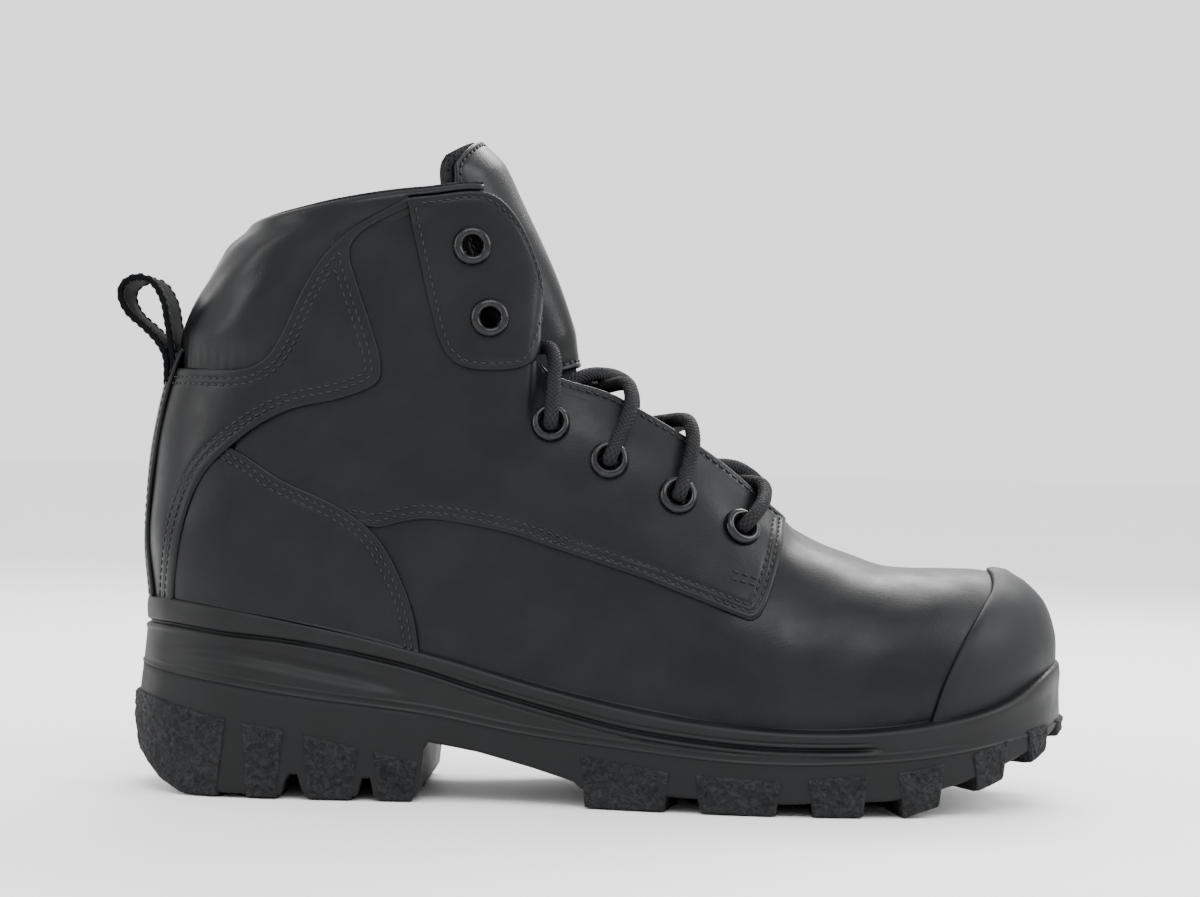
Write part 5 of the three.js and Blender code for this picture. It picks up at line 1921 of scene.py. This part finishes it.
def centre_block(start, end):
    """A plain block of tread between the two rows of side lugs."""
    bm = block(7)
    p, q, r = coords(bm).T
    p, q = crowd(p), crowd(q)
    x = start + (end - start) * p + (0.5 - q) * 3
    half = np.interp(x, PLAN[:, 0], PLAN[:, 1]) - LUG_DEPTH - 5
    y = 2.5 + (np.maximum(half, 5) - 2.5) * q
    edge = np.minimum(np.minimum(p, 1 - p) * (end - start), np.minimum(q, 1 - q) * 20)
    z = ground_z(x) + 0.15 + (base_z(x) + 2 - ground_z(x)) * r + rounded(edge, 1.2) * (r < 0.02)
    set_coords(bm, np.column_stack([x, y, z]))
    return bm


def tread(name, lugs, centres):
    halves = [lug(start or 0, end, start is None) for start, end in lugs]
    halves += [centre_block(start, end) for start, end in centres]
    sides = [copy for half in halves for copy in (other_side(half), half)]
    obj = make_object(name, joined(sides), stipple_rubber)
    return settle(obj, "boot", "outsole_rubber")


tread("heel_lugs", HEEL_LUGS, [(27, 54.5), (60.5, 78.5), (83.5, 96.5)])
tread("fore_lugs", FORE_LUGS, [(153, 180), (186, 215.5), (221, 243.5), (248.5, 268.5),
                               (273.5, 288)])

# %% [markdown]
# ## Parts from the design that stay
# The hidden steel and the boards have the right shape already. They keep their meshes and get
# finishes: zinc-grey steel for the cap and shank, pale board for the insole and the stiffeners.

# %% Finishes of the carried-over parts


def steel_material():
    material, tree, shader, where = start_material("cap_steel", metallic=1.0, roughness=0.35)
    wear = placed_group(tree, MOTTLE, where, scale=120.0, low=0.35, high=0.7)
    colours(tree, wear, (0.25, 0.26, 0.27), (0.42, 0.43, 0.44), shader.inputs["Base Color"])
    spread(tree, wear, 0.3, 0.5, shader.inputs["Roughness"])
    bump(tree, wear, 0.00003, shader, 0.4)
    return material


def board_material(name, dark, light):
    material, tree, shader, where = start_material(name, roughness=0.85)
    fibres = placed_group(tree, GRAIN, where, scale=500.0, fine=0.7)
    colours(tree, fibres, dark, light, shader.inputs["Base Color"])
    bump(tree, fibres, 0.00005, shader, 0.5)
    return material


steel = steel_material()
board = board_material("fibre_board", (0.16, 0.12, 0.08), (0.27, 0.21, 0.15))
strip = board_material("edge_strip", (0.01, 0.01, 0.011), (0.02, 0.02, 0.022))
footbed_fabric = fabric_material("footbed_fabric", (0.008, 0.008, 0.009), (0.03, 0.031, 0.034), 700.0,
                                 0.0003)
for node, finish in (("steel_toe_cap", steel), ("shank", steel), ("heel_counter", board),
                     ("insole_board", board), ("toe_cap_edge_strip", strip),
                     ("footbed", footbed_fabric)):
    carried = bpy.data.objects[node]
    if carried.material_slots:
        for holder in carried.material_slots:
            holder.material = finish
    else:
        carried.data.materials.append(finish)
    print("finish", finish.name, "on", node)

# %% [markdown]
# ## Light and floor
# A pale floor and a white room, one broad softbox above and in front, and two strips behind that
# draw the bright line along the top of the leather.

# %% Floor


def floor_material():
    material, tree, shader, where = start_material("pale_floor", roughness=0.55)
    shade = placed_group(tree, MOTTLE, where, scale=3.0, low=0.2, high=0.8)
    colours(tree, shade, (0.93, 0.93, 0.93), (0.95, 0.95, 0.95), shader.inputs["Base Color"])
    return material


floor_sheet = flat_grid(8, 8)
bmesh.ops.translate(floor_sheet, verts=floor_sheet.verts, vec=(-0.5, -0.5, 0))
bmesh.ops.scale(floor_sheet, verts=floor_sheet.verts, vec=(24, 24, 1))
floor_low = float(cad_low[2])
bmesh.ops.translate(floor_sheet, verts=floor_sheet.verts, vec=(0, 0, floor_low - 0.0002))
floor = make_object("floor", floor_sheet, floor_material(), drawn=False)

# %% Room and lamps
ROOM_LIGHT = 1.75
world = bpy.data.worlds.new("white_room")
bpy.context.scene.world = world
world.use_nodes = True
room = world.node_tree.nodes["Background"]
room.inputs["Color"].default_value = (1, 1, 1, 1)
room.inputs["Strength"].default_value = ROOM_LIGHT


def softbox(name, place, target, size, power, tint=(1, 1, 1)):
    data = bpy.data.lights.new(name, "AREA")
    data.shape = "RECTANGLE"
    data.size, data.size_y = size
    data.energy = power
    data.color = tint
    lamp = bpy.data.objects.new(name, data)
    lamp.location = place
    lamp.rotation_euler = (Vector(target) - Vector(place)).to_track_quat("-Z", "Y").to_euler()
    bpy.context.scene.collection.objects.link(lamp)
    print("softbox", name, power, "W")
    return lamp


softbox("key_softbox", (0.25, -1.0, 1.35), (0.0, 0.0, 0.08), (0.9, 0.6), 13, (0.97, 0.985, 1))
softbox("toe_softbox", (1.15, -0.25, 0.75), (0.2, 0.0, 0.05), (0.5, 0.7), 9, (0.97, 0.985, 1))
softbox("back_strip", (0.35, 0.9, 0.9), (0.1, 0.0, 0.1), (1.1, 0.3), 18)
softbox("heel_strip", (-0.9, -0.35, 0.5), (-0.1, 0.0, 0.1), (0.3, 0.8), 4)
